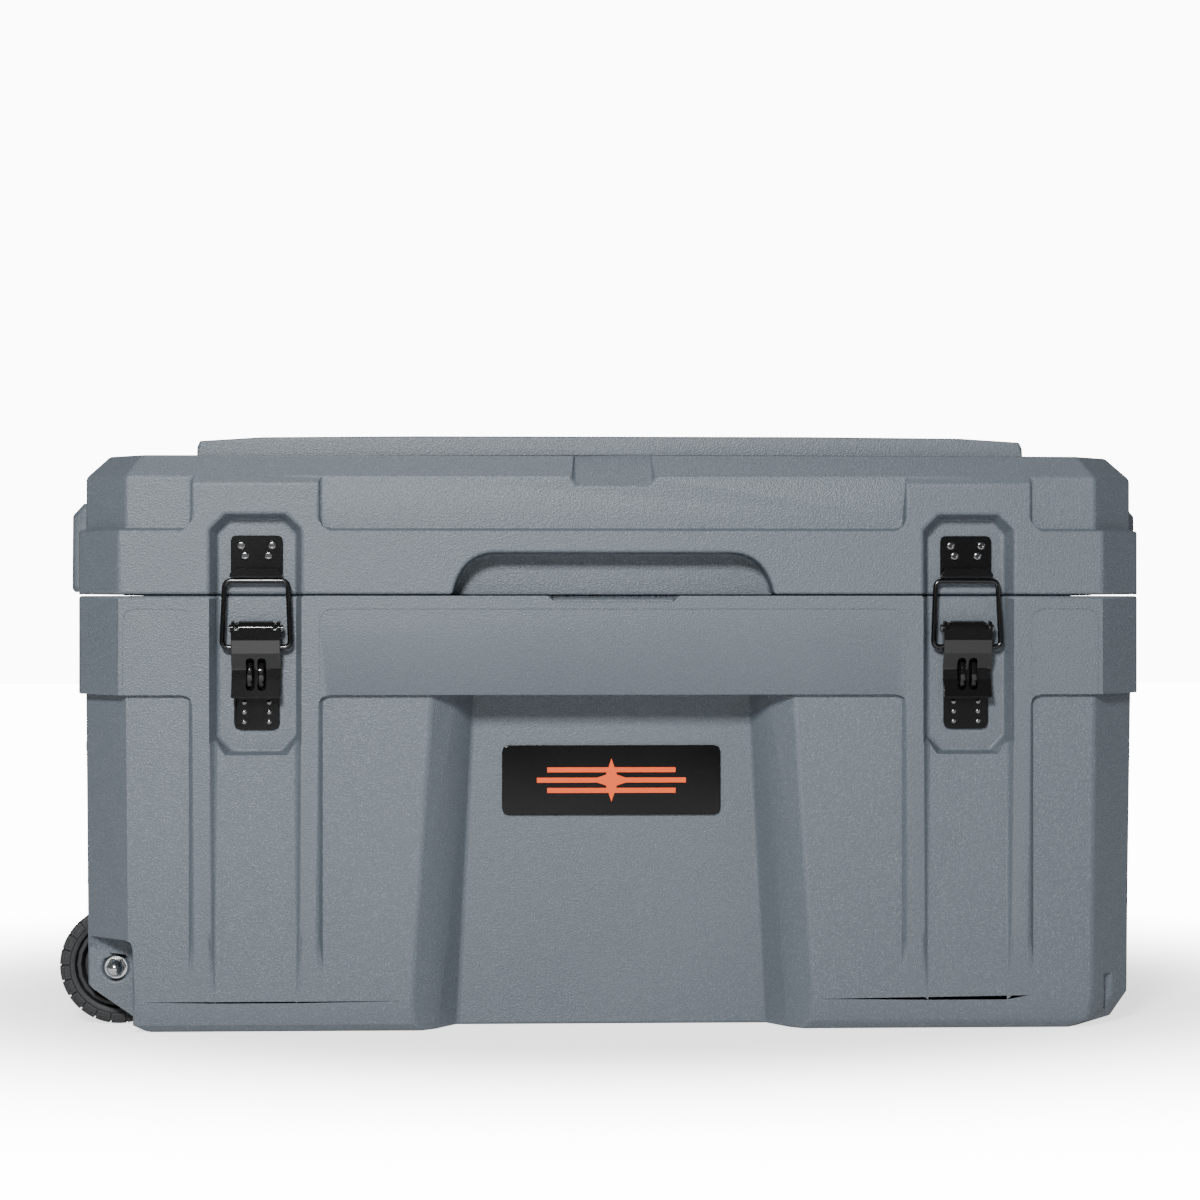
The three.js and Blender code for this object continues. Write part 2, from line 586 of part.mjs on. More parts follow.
function lid() {
  const lower = hull(casePlan(0, 0, seamZ), casePlan(0, 0, lidBandZ));
  const upper = hull(
    casePlan(LID_STEP, LID_STEP, lidBandZ - 1), casePlan(LID_STEP, LID_STEP, shoulderZ - LID_BEVEL),
    casePlan(LID_STEP + LID_BEVEL, LID_STEP + LID_BEVEL, shoulderZ, FACET_X - 6, FACET_Y - 6),
  );
  const bossTop = shoulderZ - LID_BEVEL - LID_STEP;
  const slope = shoulderZ - bossTop;
  const boss = (x, side) => extrude(outline([
    [side * (halfY - 40), lidBandZ - 5], [side * halfY, lidBandZ - 5], [side * halfY, bossTop],
    [side * (halfY - slope), shoulderZ], [side * (halfY - 40), shoulderZ],
  ]), 'YZ', x - BOSS_HALF, x + BOSS_HALF);
  const blockTop = seamZ + END_BLOCK_TOP;
  const blockEnd = (end, y, reach) => [
    [halfX - 12, seamZ + 2], [reach - 2, seamZ + 2], [reach, seamZ + 4], [reach, blockTop - 9],
    [reach - 9, blockTop], [halfX - 12, blockTop],
  ].map(([x, z]) => at(end * x, y, z));
  const endBlock = (end) => hull(...[-1, 1].flatMap((side) => [
    blockEnd(end, side * END_BLOCK_HALF, endReach), blockEnd(end, side * (END_BLOCK_HALF + 5), endReach - 4),
  ]));
  const arch = (y, drop) => [
    [PANEL_HALF, -9], [PANEL_HALF, -PANEL_RISE + 1], [PANEL_HALF - 2, -4],
    [PANEL_HALF - 50, -1], [PANEL_HALF - 170, 0],
  ].flatMap(([x, z]) => [-1, 1].map((end) => at(end * (x - drop), y, shoulderZ + PANEL_RISE + z - drop)));
  const bossCorners = [-1, 1].flatMap((end) => [-1, 1].flatMap((side) => [-1, 1].map((sx) => panelCorner(
    end * latchX + sx * BOSS_HALF, lidBandZ, sx, 1, side, LID_STEP))));
  const panelY = halfY - PANEL_MARGIN;
  const panel = hull(arch(-panelY, 2), arch(2 - panelY, 0), arch(panelY - 2, 0), arch(panelY, 2),
    [-1, 1].flatMap((end) => [-panelY, panelY].map((y) => at(end * PANEL_HALF, y, shoulderZ - 1))));
  const clear = PLUG_CLEAR;
  const plug = box(-storage.x + clear, storage.x - clear, storage.front + clear, storage.rear - clear,
    BODY_TOP - PLUG_DROP, seamZ + 2);
  const w = SCOOP_WIDTH / 2;
  const t = SCOOP_TOP_WIDTH / 2;
  const scoopShape = new THREE.Shape();
  scoopShape.moveTo(-w, seamZ - 5);
  scoopShape.lineTo(-w, seamZ);
  scoopShape.quadraticCurveTo(-w + 6, seamZ + SCOOP_HEIGHT, -t, seamZ + SCOOP_HEIGHT);
  scoopShape.lineTo(t, seamZ + SCOOP_HEIGHT);
  scoopShape.quadraticCurveTo(w - 6, seamZ + SCOOP_HEIGHT, w, seamZ);
  scoopShape.lineTo(w, seamZ - 5);
  scoopShape.closePath();
  const notchRing = (flare, y, z) => [
    at(-THUMB_NOTCH_HALF - flare, y, z), at(THUMB_NOTCH_HALF + flare, y, z)];
  const notchY = -halfY + LID_STEP;
  const notchZ = shoulderZ - LID_BEVEL - 7;
  const notch = hull(notchRing(0, notchY, notchZ), notchRing(0, notchY + 24, notchZ + 24),
    notchRing(5, notchY - 7, notchZ), notchRing(5, notchY + 17, notchZ + 31));
  const portZ = seamZ + FILL_HOLE_FROM_SEAM[1];
  const cuts = union(
    latchPocket(-latchX, pocketHighZ, seamZ - 20), latchPocket(latchX, pocketHighZ, seamZ - 20),
    stripRecess(keeperHoles, -latchX, pocketFloorY, -1), stripRecess(keeperHoles, latchX, pocketFloorY, -1),
    stripRecess(lidLeafHoles, -hingeX, halfY, 1), stripRecess(lidLeafHoles, hingeX, halfY, 1),
    extrude(scoopShape, 'XZ', -halfY - 1, -halfY + SCOOP_DEPTH, 8), notch,
    mouthRing(GASKET_OUT, GASKET_OUT + GASKET_WIDTH, seamZ - 1, seamZ + GASKET_HEIGHT - SEAM + GAP),
    cylinder('Y', FILL_HOLE_R[1], halfY - 30, halfY + 5, 0, portZ, 16), lidFoam(0),
  );
  const shell = union(lower, upper, boss(-latchX, -1), boss(latchX, -1), boss(-latchX, 1), boss(latchX, 1),
    endBlock(-1), endBlock(1), panel, plug, ...bossCorners).subtract(cuts);
  addPart('lid_shell', shell, MOULDED);
  addPart('lid_foam', lidFoam(GAP), FOAM);
  addPart('lid_fill_plug', fillPlug(portZ, halfY - LID_STEP, FILL_HOLE_R[1]), NYLON);
  addPart('lid_gasket', mouthRing(GASKET_OUT + GAP, GASKET_OUT + GASKET_WIDTH - GAP, BODY_TOP + GAP,
    seamZ + GASKET_HEIGHT - SEAM), RUBBER);
}
lid();

// ---------------------------------------------------------------- badge
function badge() {
  const floor = -halfY + RECESS_DEPTH - GAP;
  const plate = outline(rectangle(-BADGE_WIDTH / 2, BADGE_WIDTH / 2, BADGE_Z - BADGE_HEIGHT / 2,
    BADGE_Z + BADGE_HEIGHT / 2), 5);
  addPart('badge_plate', extrude(plate, 'XZ', floor - BADGE_THICK, floor), BADGE_BLACK);
  const star = new THREE.Shape();
  for (let i = 0; i < 8; i += 1) {
    const r = STAR_R[i % 2];
    const angle = i * Math.PI / 4;
    const [u, v] = [r * Math.cos(angle), BADGE_Z + r * Math.sin(angle)];
    if (i === 0) star.moveTo(u, v);
    else star.lineTo(u, v);
  }
  star.closePath();
  const y1 = floor - BADGE_THICK - GAP;
  const y0 = y1 - EMBLEM_THICK;
  const bar = (half, v) => rectangle(-half, half, BADGE_Z + v - BAR_HALF, BADGE_Z + v + BAR_HALF);
  const bars = BARS.map(([half, v]) => extrude(outline(bar(half, v)), 'XZ', y0, y1));
  const tie = rectangle(-BAR_HALF, BAR_HALF, BADGE_Z - 10, BADGE_Z + 10);
  const upright = extrude(outline(tie), 'XZ', y0, y1);
  addPart('badge_emblem', union(extrude(star, 'XZ', y0, y1), upright, ...bars), ORANGE);
}
badge();

// ---------------------------------------------------------------- draw latches
// Places in a latch are (u, d, z): along X from its centre, out from the pocket floor, and height.
function latch(name, x) {
  const Y = (d) => pocketFloorY - d;
  const slab = (u0, u1, d0, d1, z0, z1) => box(x + u0, x + u1, Y(d1), Y(d0), z0, z1);
  const side = (corners, u0, u1, radius = 0) => extrude(
    outline(corners.map(([d, z, r]) => [Y(d), z, r]), radius), 'YZ', x + u0, x + u1);
  const across = (r, u0, u1, d, z, sides = 10) => cylinder('X', r, x + u0, x + u1, Y(d), z, sides);
  const holes = (list, r, depth) => list.map(([u, v]) => cylinder('Y', r, Y(depth), Y(-1), x + u, v, 6));
  const plateOut = GAP + PLATE;
  const pin = { d: LEVER_PIN_OUT, z: seamZ - LEVER_PIN_DROP };
  const foot = { d: LEVER_PIN_OUT, z: pin.z - BAIL_DROP };
  const barZ = seamZ + BAIL_TOP_ABOVE;
  const barD = 6.5;

  // keeper: a folded plate whose hook faces up
  const [keepLow, keepHigh] = keeperPlateZ;
  const lipOut = barD + 3.5;
  const keeperPlate = extrude(outline([[x - 19.8, keepLow], [x + 19.8, keepLow], [x + 19.8, keepHigh, 4],
    [x - 19.8, keepHigh, 4]]), 'XZ', Y(plateOut), Y(GAP));
  const lip = extrude(outline([
    [x - 20, keepLow], [x + 20, keepLow], [x + 20, keepLow + 2.5],
    [x + 16.5, keepLow + 7], [x - 16.5, keepLow + 7], [x - 20, keepLow + 2.5],
  ]), 'XZ', Y(lipOut), Y(lipOut - 1.8));
  const shelf = slab(-20, 20, GAP, lipOut, keepLow, keepLow + 1.8);
  const keeper = union(keeperPlate, shelf, lip).subtract(union(...holes(keeperHoles, 1.9, 5)));
  const keeperScrews = fastenerStrip(keeperHoles, x, pocketFloorY, -1, PLATE, 1.6, 3.2, 1.2);
  addPart(`${name}_keeper`, keeper, BLACK_STEEL);
  addPart(`${name}_keeper_screws`, keeperScrews, BLACK_STEEL);

  // base plate with two ears for the hinge pin
  const [baseLow, baseHigh] = basePlateZ;
  const baseHalf = LEVER_WIDTH / 2 - 1.45;
  const basePlate = extrude(outline([
    [x - baseHalf, baseLow, 5], [x + baseHalf, baseLow, 5], [x + baseHalf, baseHigh, 2],
    [x - baseHalf, baseHigh, 2],
  ]), 'XZ', Y(plateOut), Y(GAP));
  const ear = (u0, u1) => side([[GAP, pin.z - 14], [plateOut, pin.z - 14], [pin.d + 3.6, pin.z - 3, 3],
    [pin.d + 3.6, pin.z + 0.5], [pin.d + 2.4, pin.z + 2.8], [pin.d, pin.z + 3.7], [pin.d - 2.5, pin.z + 3.2],
    [GAP, pin.z + 3.2]], u0, u1);
  const earOut = LEVER_WIDTH / 2 - LEVER_SHEET - 1.3;
  const pinHole = across(LEVER_PIN_R + GAP, -30, 30, pin.d, pin.z);
  addPart(`${name}_base`, union(basePlate, ear(-earOut, -earOut + PLATE), ear(earOut - PLATE, earOut))
    .subtract(union(pinHole, ...holes(baseHoles, 1.5, 5))), BLACK_STEEL);
  const rivets = fastenerStrip(baseHoles, x, pocketFloorY, -1, PLATE, 1.2, 1.9, 0.8);
  addPart(`${name}_base_rivets`, rivets, BLACK_STEEL);

  // padlock staple: two upright loops on a small foot
  const loopZ = pin.z - 35;
  const loopOut = POCKET_DEPTH - 0.2;
  const loop = (u) => side([
    [plateOut + GAP, loopZ - 10.5], [loopOut - 4, loopZ - 10.5, 3], [loopOut, loopZ - 4, 3],
    [loopOut, loopZ + 4, 3], [loopOut - 4, loopZ + 10.5, 3], [plateOut + GAP, loopZ + 10.5],
  ], u - STAPLE_WIRE / 2, u + STAPLE_WIRE / 2);
  const loopHole = side([
    [plateOut + 3, loopZ - 7], [loopOut - 5, loopZ - 7, 2], [loopOut - 2.6, loopZ - 3, 2],
    [loopOut - 2.6, loopZ + 3, 2], [loopOut - 5, loopZ + 7, 2], [plateOut + 3, loopZ + 7],
  ], -20, 20);
  const stapleFoot = slab(-STAPLE_X - 1.7, STAPLE_X + 1.7, plateOut + GAP, plateOut + GAP + 1.6,
    loopZ - 10.5, loopZ + 10.5);
  const staple = union(loop(-STAPLE_X), loop(STAPLE_X), stapleFoot).subtract(loopHole);
  addPart(`${name}_staple`, staple, BLACK_STEEL);

  // lever: a bent strip with two side cheeks, slotted over the padlock loops
  const half = LEVER_WIDTH / 2;
  const end = pin.z - LEVER_LENGTH;
  const strip = side([
    [pin.d, pin.z + 6], [pin.d + 4, pin.z + 4.6], [pin.d + 6, pin.z + 1], [pin.d + 6, pin.z - 9],
    [pin.d + 5, pin.z - 19], [pin.d - 0.6, pin.z - 31], [pin.d - 0.6, pin.z - 39], [pin.d + 5.5, end],
    [pin.d + 3.7, end], [pin.d - 2.4, pin.z - 39], [pin.d - 2.4, pin.z - 31], [pin.d + 3.2, pin.z - 19],
    [pin.d + 4.2, pin.z - 9], [pin.d + 4.2, pin.z + 0.4], [pin.d + 3, pin.z + 3.2], [pin.d, pin.z + 4.2],
  ], -half, half);
  const cheek = (u0, u1) => side([
    [pin.d - 3, pin.z + 4.2, 1.5], [pin.d, pin.z + 6], [pin.d + 4, pin.z + 4.6], [pin.d + 6, pin.z + 1],
    [pin.d + 6, pin.z - 9], [pin.d + 5, pin.z - 19], [pin.d + 3.2, pin.z - 24], [pin.d - 3.5, pin.z - 20, 2],
    [pin.d - 3.5, pin.z - 6],
  ], u0, u1);
  // the strip is notched where the ears stand, so that it rolls past them as the lever opens
  const earNotch = (u) => slab(u - 0.5, u + PLATE + 0.5, -1, 20, pin.z - 0.5, pin.z + 10);
  const slot = (u) => extrude(outline(rectangle(x + u - 2.85, x + u + 2.85, loopZ - 12, loopZ + 12), 2.6),
    'XZ', Y(20), Y(0));
  const leverCuts = union(
    pinHole, slot(-STAPLE_X), slot(STAPLE_X), earNotch(-earOut), earNotch(earOut - PLATE),
    across(BAIL_R + GAP, -30, 30, foot.d, foot.z),
  );
  const cheeks = cheek(-half, -half + LEVER_SHEET).add(cheek(half - LEVER_SHEET, half));
  addPart(`${name}_lever`, strip.add(cheeks).subtract(leverCuts), BLACK_STEEL);
  const pinHead = 3.2;
  const leverPin = union(
    across(LEVER_PIN_R, -half - 1.6, half + 1.6, pin.d, pin.z),
    across(pinHead, half + GAP, half + 1.8, pin.d, pin.z),
    across(pinHead, -half - 1.8, -half - GAP, pin.d, pin.z),
  );
  addPart(`${name}_lever_pin`, leverPin, BLACK_STEEL);

  // bail: one bent wire, its feet turned in through the cheeks
  const inner = half - LEVER_SHEET - GAP;
  const wire = [[inner, foot.d, foot.z], [bailHalf + BAIL_SPREAD, foot.d, foot.z], [bailHalf, barD, barZ]];
  const mirrored = wire.map(([u, d, z]) => [-u, d, z]).reverse();
  const bail = bentRod([...wire, ...mirrored].map(([u, d, z]) => at(x + u, Y(d), z)), 5.5, BAIL_R, 36);
  addPart(`${name}_bail`, bail, BLACK_STEEL);
}
latch('latch_left', -latchX);
latch('latch_right', latchX);

// ---------------------------------------------------------------- rear hinges
function hinge(name, x) {
  const knuckles = 5;
  const pitch = HINGE_WIDTH / knuckles;
  const span = (i, extra) => [x - HINGE_WIDTH / 2 + i * pitch + 0.25 - extra,
    x - HINGE_WIDTH / 2 + (i + 1) * pitch - 0.25 + extra];
  const barrel = (first, r, extra) => {
    const parts = [];
    for (let i = first; i < knuckles; i += 2) {
      const [from, to] = span(i, extra);
      parts.push(cylinder('X', r, from, to, hingeY, hingeZ, 10));
    }
    return union(...parts);
  };
  const bore = cylinder('X', HINGE_PIN_R + GAP, x - HINGE_WIDTH, x + HINGE_WIDTH, hingeY, hingeZ, 10);
  const leaf = (far, holes) => extrude(outline([
    [x - HINGE_WIDTH / 2, hingeZ], [x + HINGE_WIDTH / 2, hingeZ],
    [x + HINGE_WIDTH / 2, far, 5], [x - HINGE_WIDTH / 2, far, 5],
  ]), 'XZ', halfY + GAP, halfY + GAP + HINGE_LEAF)
    .subtract(union(...holes.map(([u, v]) => cylinder('Y', 2, halfY - 5, halfY + 9, x + u, v, 6))));
  const bodyLeaf = leaf(hingeZ - 58, bodyLeafHoles).subtract(barrel(1, HINGE_R + 0.5, 0.3));
  const lidLeaf = leaf(hingeZ + 45, lidLeafHoles).subtract(barrel(0, HINGE_R + 0.5, 0.3));
  addPart(`${name}_body_leaf`, bodyLeaf.add(barrel(0, HINGE_R, 0)).subtract(bore), BLACK_STEEL);
  addPart(`${name}_lid_leaf`, lidLeaf.add(barrel(1, HINGE_R, 0)).subtract(bore), BLACK_STEEL);
  const pinRod = (r, from, to) => cylinder('X', r, x + from, x + to, hingeY, hingeZ, 10);
  const pinEnd = HINGE_WIDTH / 2;
  const pinHead = 3.4;
  addPart(`${name}_pin`, union(
    pinRod(HINGE_PIN_R, -pinEnd - 2, pinEnd + 2), pinRod(pinHead, pinEnd + GAP, pinEnd + 2.5),
    pinRod(pinHead, -pinEnd - 2.5, -pinEnd - GAP),
  ), STAINLESS);
  const screws = (holes) => fastenerStrip(holes, x, halfY, 1, HINGE_LEAF, 1.7, 3.4, 1.6);
  addPart(`${name}_body_screws`, screws(bodyLeafHoles), STAINLESS);
  addPart(`${name}_lid_screws`, screws(lidLeafHoles), STAINLESS);
}
hinge('hinge_left', -hingeX);
hinge('hinge_right', hingeX);

// ---------------------------------------------------------------- axle and wheels
const NUT_ACROSS = 13;            // an M8 cap nut
function axle() {
  const seat = halfY - AXLE_PLATE_IN - AXLE_COUNTERBORE;
  const washer = 1.6;
  const nutFrom = seat + 2 * GAP + washer;
  const hex = NUT_ACROSS / 2 / Math.cos(Math.PI / 6);
  addPart('axle_rod', cylinder('Y', AXLE_R, -nutFrom - 8, nutFrom + 8, axleX, axleZ, 16), STAINLESS);
  for (const [place, side] of [['front', -1], ['rear', 1]]) {
    const span = (a, b) => [side * a, side * b].sort((p, q) => p - q);
    const ring = (outer, inner, a, b) => cylinder('Y', outer, ...span(a, b), axleX, axleZ, 24)
      .subtract(cylinder('Y', inner, ...span(a - 1, b + 1), axleX, axleZ, 16));
    addPart(`axle_washer_${place}`, ring(8.6, AXLE_R + GAP, seat + GAP, seat + GAP + washer), STAINLESS);
    const dome = turned([[0, 0], [6.2, 0], [6.2, 6.5], [5.4, 9.6], [3.2, 12.2], [0, 13]], 0, 0, 12);
    const turnedDome = side > 0 ? dome : dome.rotate([180, 0, 0]);
    const nut = cylinder('Y', hex, ...span(nutFrom, nutFrom + 6.5), axleX, axleZ, 6)
      .add(turnedDome.translate([axleX, side * nutFrom, axleZ]))
      .subtract(cylinder('Y', AXLE_R + GAP, ...span(nutFrom - 1, nutFrom + 8 + GAP), axleX, axleZ, 16));
    addPart(`axle_nut_${place}`, nut, STAINLESS);
  }
}
axle();

function wheel(name, side) {
  const middle = side * (wellFrom - wellDepth / 2);
  const w = WHEEL_WIDTH / 2;
  const boreR = AXLE_R + GAP + BUSH_WALL;
  const tread = WHEEL_R - 2.5;
  const place = (profile) => turned(profile.map(([r, y]) => [r, y + middle]), axleX, axleZ, 20);
  const carcass = place([
    [RIM_R + GAP, -w + 4], [tread - 4, -w], [tread, -w + 4], [tread, w - 4], [tread - 4, w],
    [RIM_R + GAP, w - 4], [RIM_R + GAP, -w + 4],
  ]);
  const lugs = [];
  for (let i = 0; i < LUGS; i += 1) {
    const lug = hull([-1, 1].flatMap((end) => [-1, 1].flatMap((turn) => [
      at(turn * LUG_HALF, end * (w - 1), tread - 3), at(turn * (LUG_HALF - 0.3), end * (w - 3), WHEEL_R),
    ])));
    lugs.push(lug.rotate([0, i * 360 / LUGS, 0]).translate([axleX, middle, axleZ]));
  }
  addPart(`${name}_tyre`, union(carcass, ...lugs), RUBBER);
  const hub = place([
    [boreR + GAP, -w + 1], [boreR + 6, -w + 1], [boreR + 6.5, -5], [RIM_R - 5, -5], [RIM_R - 4, -w + 5],
    [RIM_R, -w + 5], [RIM_R, w - 5], [RIM_R - 4, w - 5], [RIM_R - 5, 5], [boreR + 6.5, 5],
    [boreR + 6, w - 1], [boreR + GAP, w - 1], [boreR + GAP, -w + 1],
  ]);
  const windows = [];
  for (let i = 0; i < 5; i += 1) {
    const angle = i * Math.PI * 2 / 5;
    windows.push(cylinder('Y', 5, middle - 10, middle + 10, axleX + 20 * Math.cos(angle),
      axleZ + 20 * Math.sin(angle), 6));
  }
  addPart(`${name}_hub`, hub.subtract(union(...windows)), NYLON);
  const bush = turned([[AXLE_R + GAP, -w], [boreR, -w], [boreR, w], [AXLE_R + GAP, w], [AXLE_R + GAP, -w]]
    .map(([r, y]) => [r, y + middle]), axleX, axleZ, 16);
  addPart(`${name}_bush`, bush, FOAM);
}
wheel('wheel_front', -1);
wheel('wheel_rear', 1);

// ---------------------------------------------------------------- end handles
// A bent rod with a grip hangs from two brackets; its turned ends are its own pivots.
function swingHandle(name, end, pivotZ, drop) {
  const rodX = end * (endWallX + HANDLE_OUT);
  const gripZ = pivotZ - drop;
  const earIn = HANDLE_HALF + HANDLE_ROD_R + 2;
  for (const [place, side] of [['front', -1], ['rear', 1]]) {
    const span = (a, b) => [side * a, side * b].sort((p, q) => p - q);
    const [p0, p1] = span(earIn - 4, earIn + 22);
    const wall = end * (endWallX + GAP);
    const [plateFrom, plateTo] = [wall, wall + end * 3].sort((a, b) => a - b);
    const plate = extrude(outline(rectangle(p0, p1, pivotZ - 24, pivotZ + 18), 5), 'YZ', plateFrom, plateTo);
    const ear = extrude(outline([
      [wall, pivotZ - 16], [rodX + end * 7, pivotZ - 7, 4], [rodX + end * 7, pivotZ + 7, 4],
      [wall, pivotZ + 16],
    ]), 'XZ', ...span(earIn, earIn + 9));
    const bore = cylinder('Y', HANDLE_ROD_R + GAP, ...span(earIn - 5, earIn + 25), rodX, pivotZ, 16);
    const heads = [-17, 11].map((dz) => cylinder('X', 3.5,
      ...[end * (endWallX + GAP + 2), end * (endWallX + GAP + 4.6)].sort((a, b) => a - b),
      side * (earIn + 16), pivotZ + dz, 8));
    addPart(`${name}_bracket_${place}`, union(plate, ear, ...heads).subtract(bore), BLACK_STEEL);
  }
  const tip = earIn + 11;
  const frame = bentRod([
    at(rodX, -tip, pivotZ), at(rodX, -HANDLE_HALF, pivotZ), at(rodX, -HANDLE_HALF, gripZ),
    at(rodX, HANDLE_HALF, gripZ), at(rodX, HANDLE_HALF, pivotZ), at(rodX, tip, pivotZ),
  ], 6.9, HANDLE_ROD_R, 44);
  addPart(`${name}_frame`, frame, BLACK_STEEL);
  const g = GRIP_HALF;
  const grip = turned([[HANDLE_ROD_R + GAP, -g], [GRIP_R - 1.5, -g], [GRIP_R, -g + 3], [GRIP_R - 1, -g / 2],
    [GRIP_R, 0], [GRIP_R - 1, g / 2], [GRIP_R, g - 3], [GRIP_R - 1.5, g], [HANDLE_ROD_R + GAP, g],
    [HANDLE_ROD_R + GAP, -g]], rodX, gripZ, 12);
  addPart(`${name}_grip`, grip, RUBBER);
}
swingHandle('carry_handle', -1, CARRY_PIVOT_Z, CARRY_DROP);
swingHandle('tow_handle', 1, TOW_PIVOT_Z, TOW_DROP);

// ---------------------------------------------------------------- drain
function drain() {
  const tube = (r, from, to, sides = 16) => cylinder('X', r, from, to, DRAIN_Y, drainZ, sides);
  const face = endWallX + GAP;
  const bush = tube(DRAIN_R + 3, storage.x, face + 1).add(tube(DRAIN_R + 8, face, face + 3));
  addPart('drain_bush', bush.subtract(tube(DRAIN_R, storage.x - 5, face + 10)), NYLON);
  const sealFrom = face + 3 + GAP;
  addPart('drain_seal', tube(DRAIN_R + 5, sealFrom, sealFrom + 2.4)
    .subtract(tube(DRAIN_R, sealFrom - 1, sealFrom + 4)), RUBBER);
  const headFrom = sealFrom + 2.4 + GAP;
  const flutes = [];
  for (let i = 0; i < 6; i += 1) {
    const angle = i * Math.PI / 3;
    flutes.push(cylinder('X', 3, headFrom - 1, headFrom + 15, DRAIN_Y + 18 * Math.cos(angle),
      drainZ + 18 * Math.sin(angle), 8));
  }
  const head = tube(DRAIN_R + 7, headFrom, headFrom + 9, 18).subtract(union(...flutes));
  addPart('drain_plug', tube(DRAIN_R - GAP, storage.x + 12, headFrom + 1).add(head), NYLON);
}
drain();

export default cooler;
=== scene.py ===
"""A hard-sided wheeled cooler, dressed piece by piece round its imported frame. Metres, +Z up, front at -Y."""

import bmesh
import bpy
import numpy as np
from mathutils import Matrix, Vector


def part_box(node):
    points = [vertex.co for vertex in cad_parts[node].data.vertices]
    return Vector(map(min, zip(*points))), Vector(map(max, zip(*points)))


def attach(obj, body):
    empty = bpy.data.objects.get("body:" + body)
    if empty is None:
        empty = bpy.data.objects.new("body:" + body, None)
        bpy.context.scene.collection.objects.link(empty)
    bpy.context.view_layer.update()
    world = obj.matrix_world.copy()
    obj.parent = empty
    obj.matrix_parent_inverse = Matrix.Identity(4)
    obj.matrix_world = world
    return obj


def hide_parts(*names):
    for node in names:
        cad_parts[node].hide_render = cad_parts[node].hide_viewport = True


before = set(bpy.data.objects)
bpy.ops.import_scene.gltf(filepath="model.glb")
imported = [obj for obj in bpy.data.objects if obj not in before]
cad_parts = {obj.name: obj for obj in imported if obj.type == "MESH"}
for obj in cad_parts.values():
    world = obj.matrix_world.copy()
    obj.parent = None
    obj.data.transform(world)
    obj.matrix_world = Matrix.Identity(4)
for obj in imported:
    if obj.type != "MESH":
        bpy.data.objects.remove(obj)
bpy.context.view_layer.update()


# ------------------------------------------------------------------ studio
# A white sweep under one large soft light from the front left and a weaker one from the right, with a
# camera level with the lid seam and a little to the wheel side of the case.
front_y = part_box("body_shell")[0][1]
AIM = Vector((-0.0105, front_y, 0.330))
CAMERA_AWAY = 2.20
CAMERA_TURN = np.radians(2.2)
VIEW_WIDTH = 0.9156

camera_data = bpy.data.cameras.new("camera")
camera_data.sensor_width = 36.0
camera_data.lens = 36.0 * CAMERA_AWAY / VIEW_WIDTH
camera = bpy.data.objects.new("camera", camera_data)
bpy.context.collection.objects.link(camera)
camera.location = AIM + Vector((-np.sin(CAMERA_TURN), -np.cos(CAMERA_TURN), 0)) * CAMERA_AWAY
camera.rotation_euler = (np.pi / 2, 0, -CAMERA_TURN)
bpy.context.scene.camera = camera


def soft_light(name, place, aim, size, power):
    """A square area light of the given side, turned so that it shines from place towards aim."""
    data = bpy.data.lights.new(name, "AREA")
    data.size = size
    data.energy = power
    light = bpy.data.objects.new(name, data)
    bpy.context.collection.objects.link(light)
    light.location = place
    light.rotation_euler = (Vector(aim) - Vector(place)).to_track_quat("-Z", "Y").to_euler()


soft_light("key", (-0.55, -2.6, 1.45), (0, 0, 0.2), 0.45, 98)
soft_light("fill", (2.2, -1.6, 0.9), (0, 0, 0.2), 0.8, 5)
soft_light("top", (-0.2, 0.6, 2.3), (0, 0, 0.3), 1.2, 14)

world = bpy.data.worlds.new("studio")
world.use_nodes = True
studio = world.node_tree
glow = studio.nodes["Background"]
glow.inputs["Color"].default_value = (1, 1, 1, 1)
glow.inputs["Strength"].default_value = 0.13
backdrop = studio.nodes.new("ShaderNodeBackground")
backdrop.inputs["Strength"].default_value = 14.0
seen = studio.nodes.new("ShaderNodeLightPath")
either = studio.nodes.new("ShaderNodeMixShader")
studio.links.new(seen.outputs["Is Camera Ray"], either.inputs["Fac"])
studio.links.new(glow.outputs["Background"], either.inputs[1])
studio.links.new(backdrop.outputs["Background"], either.inputs[2])
studio.links.new(either.outputs["Shader"], studio.nodes["World Output"].inputs["Surface"])
bpy.context.scene.world = world

sweep = bpy.data.meshes.new("sweep")
sweep.from_pydata([(-9, -9, 0), (9, -9, 0), (9, 9, 0), (-9, 9, 0)], [], [(0, 1, 2, 3)])
floor = bpy.data.objects.new("floor", sweep)
bpy.context.collection.objects.link(floor)
floor_paint = bpy.data.materials.new("floor_white")
floor_paint.use_nodes = True
floor_shader = floor_paint.node_tree.nodes["Principled BSDF"]
floor_shader.inputs["Base Color"].default_value = (0.92, 0.92, 0.92, 1)
floor_shader.inputs["Roughness"].default_value = 0.8
floor_shader.inputs["Emission Color"].default_value = (1, 1, 1, 1)
floor_tree = floor_paint.node_tree
floor_place = floor_tree.nodes.new("ShaderNodeTexCoord")
floor_squeeze = floor_tree.nodes.new("ShaderNodeMapping")
floor_squeeze.inputs["Scale"].default_value = (1 / 0.60, 1 / 0.42, 1)
floor_reach = floor_tree.nodes.new("ShaderNodeVectorMath")
floor_reach.operation = "LENGTH"
floor_fade = floor_tree.nodes.new("ShaderNodeMapRange")
floor_fade.interpolation_type = "SMOOTHSTEP"
for socket, value in (("From Min", 0.7), ("From Max", 1.9), ("To Min", 1.6), ("To Max", 14.0)):
    floor_fade.inputs[socket].default_value = value
floor_seen = floor_tree.nodes.new("ShaderNodeLightPath")
floor_glow = floor_tree.nodes.new("ShaderNodeMath")
floor_glow.operation = "MULTIPLY"
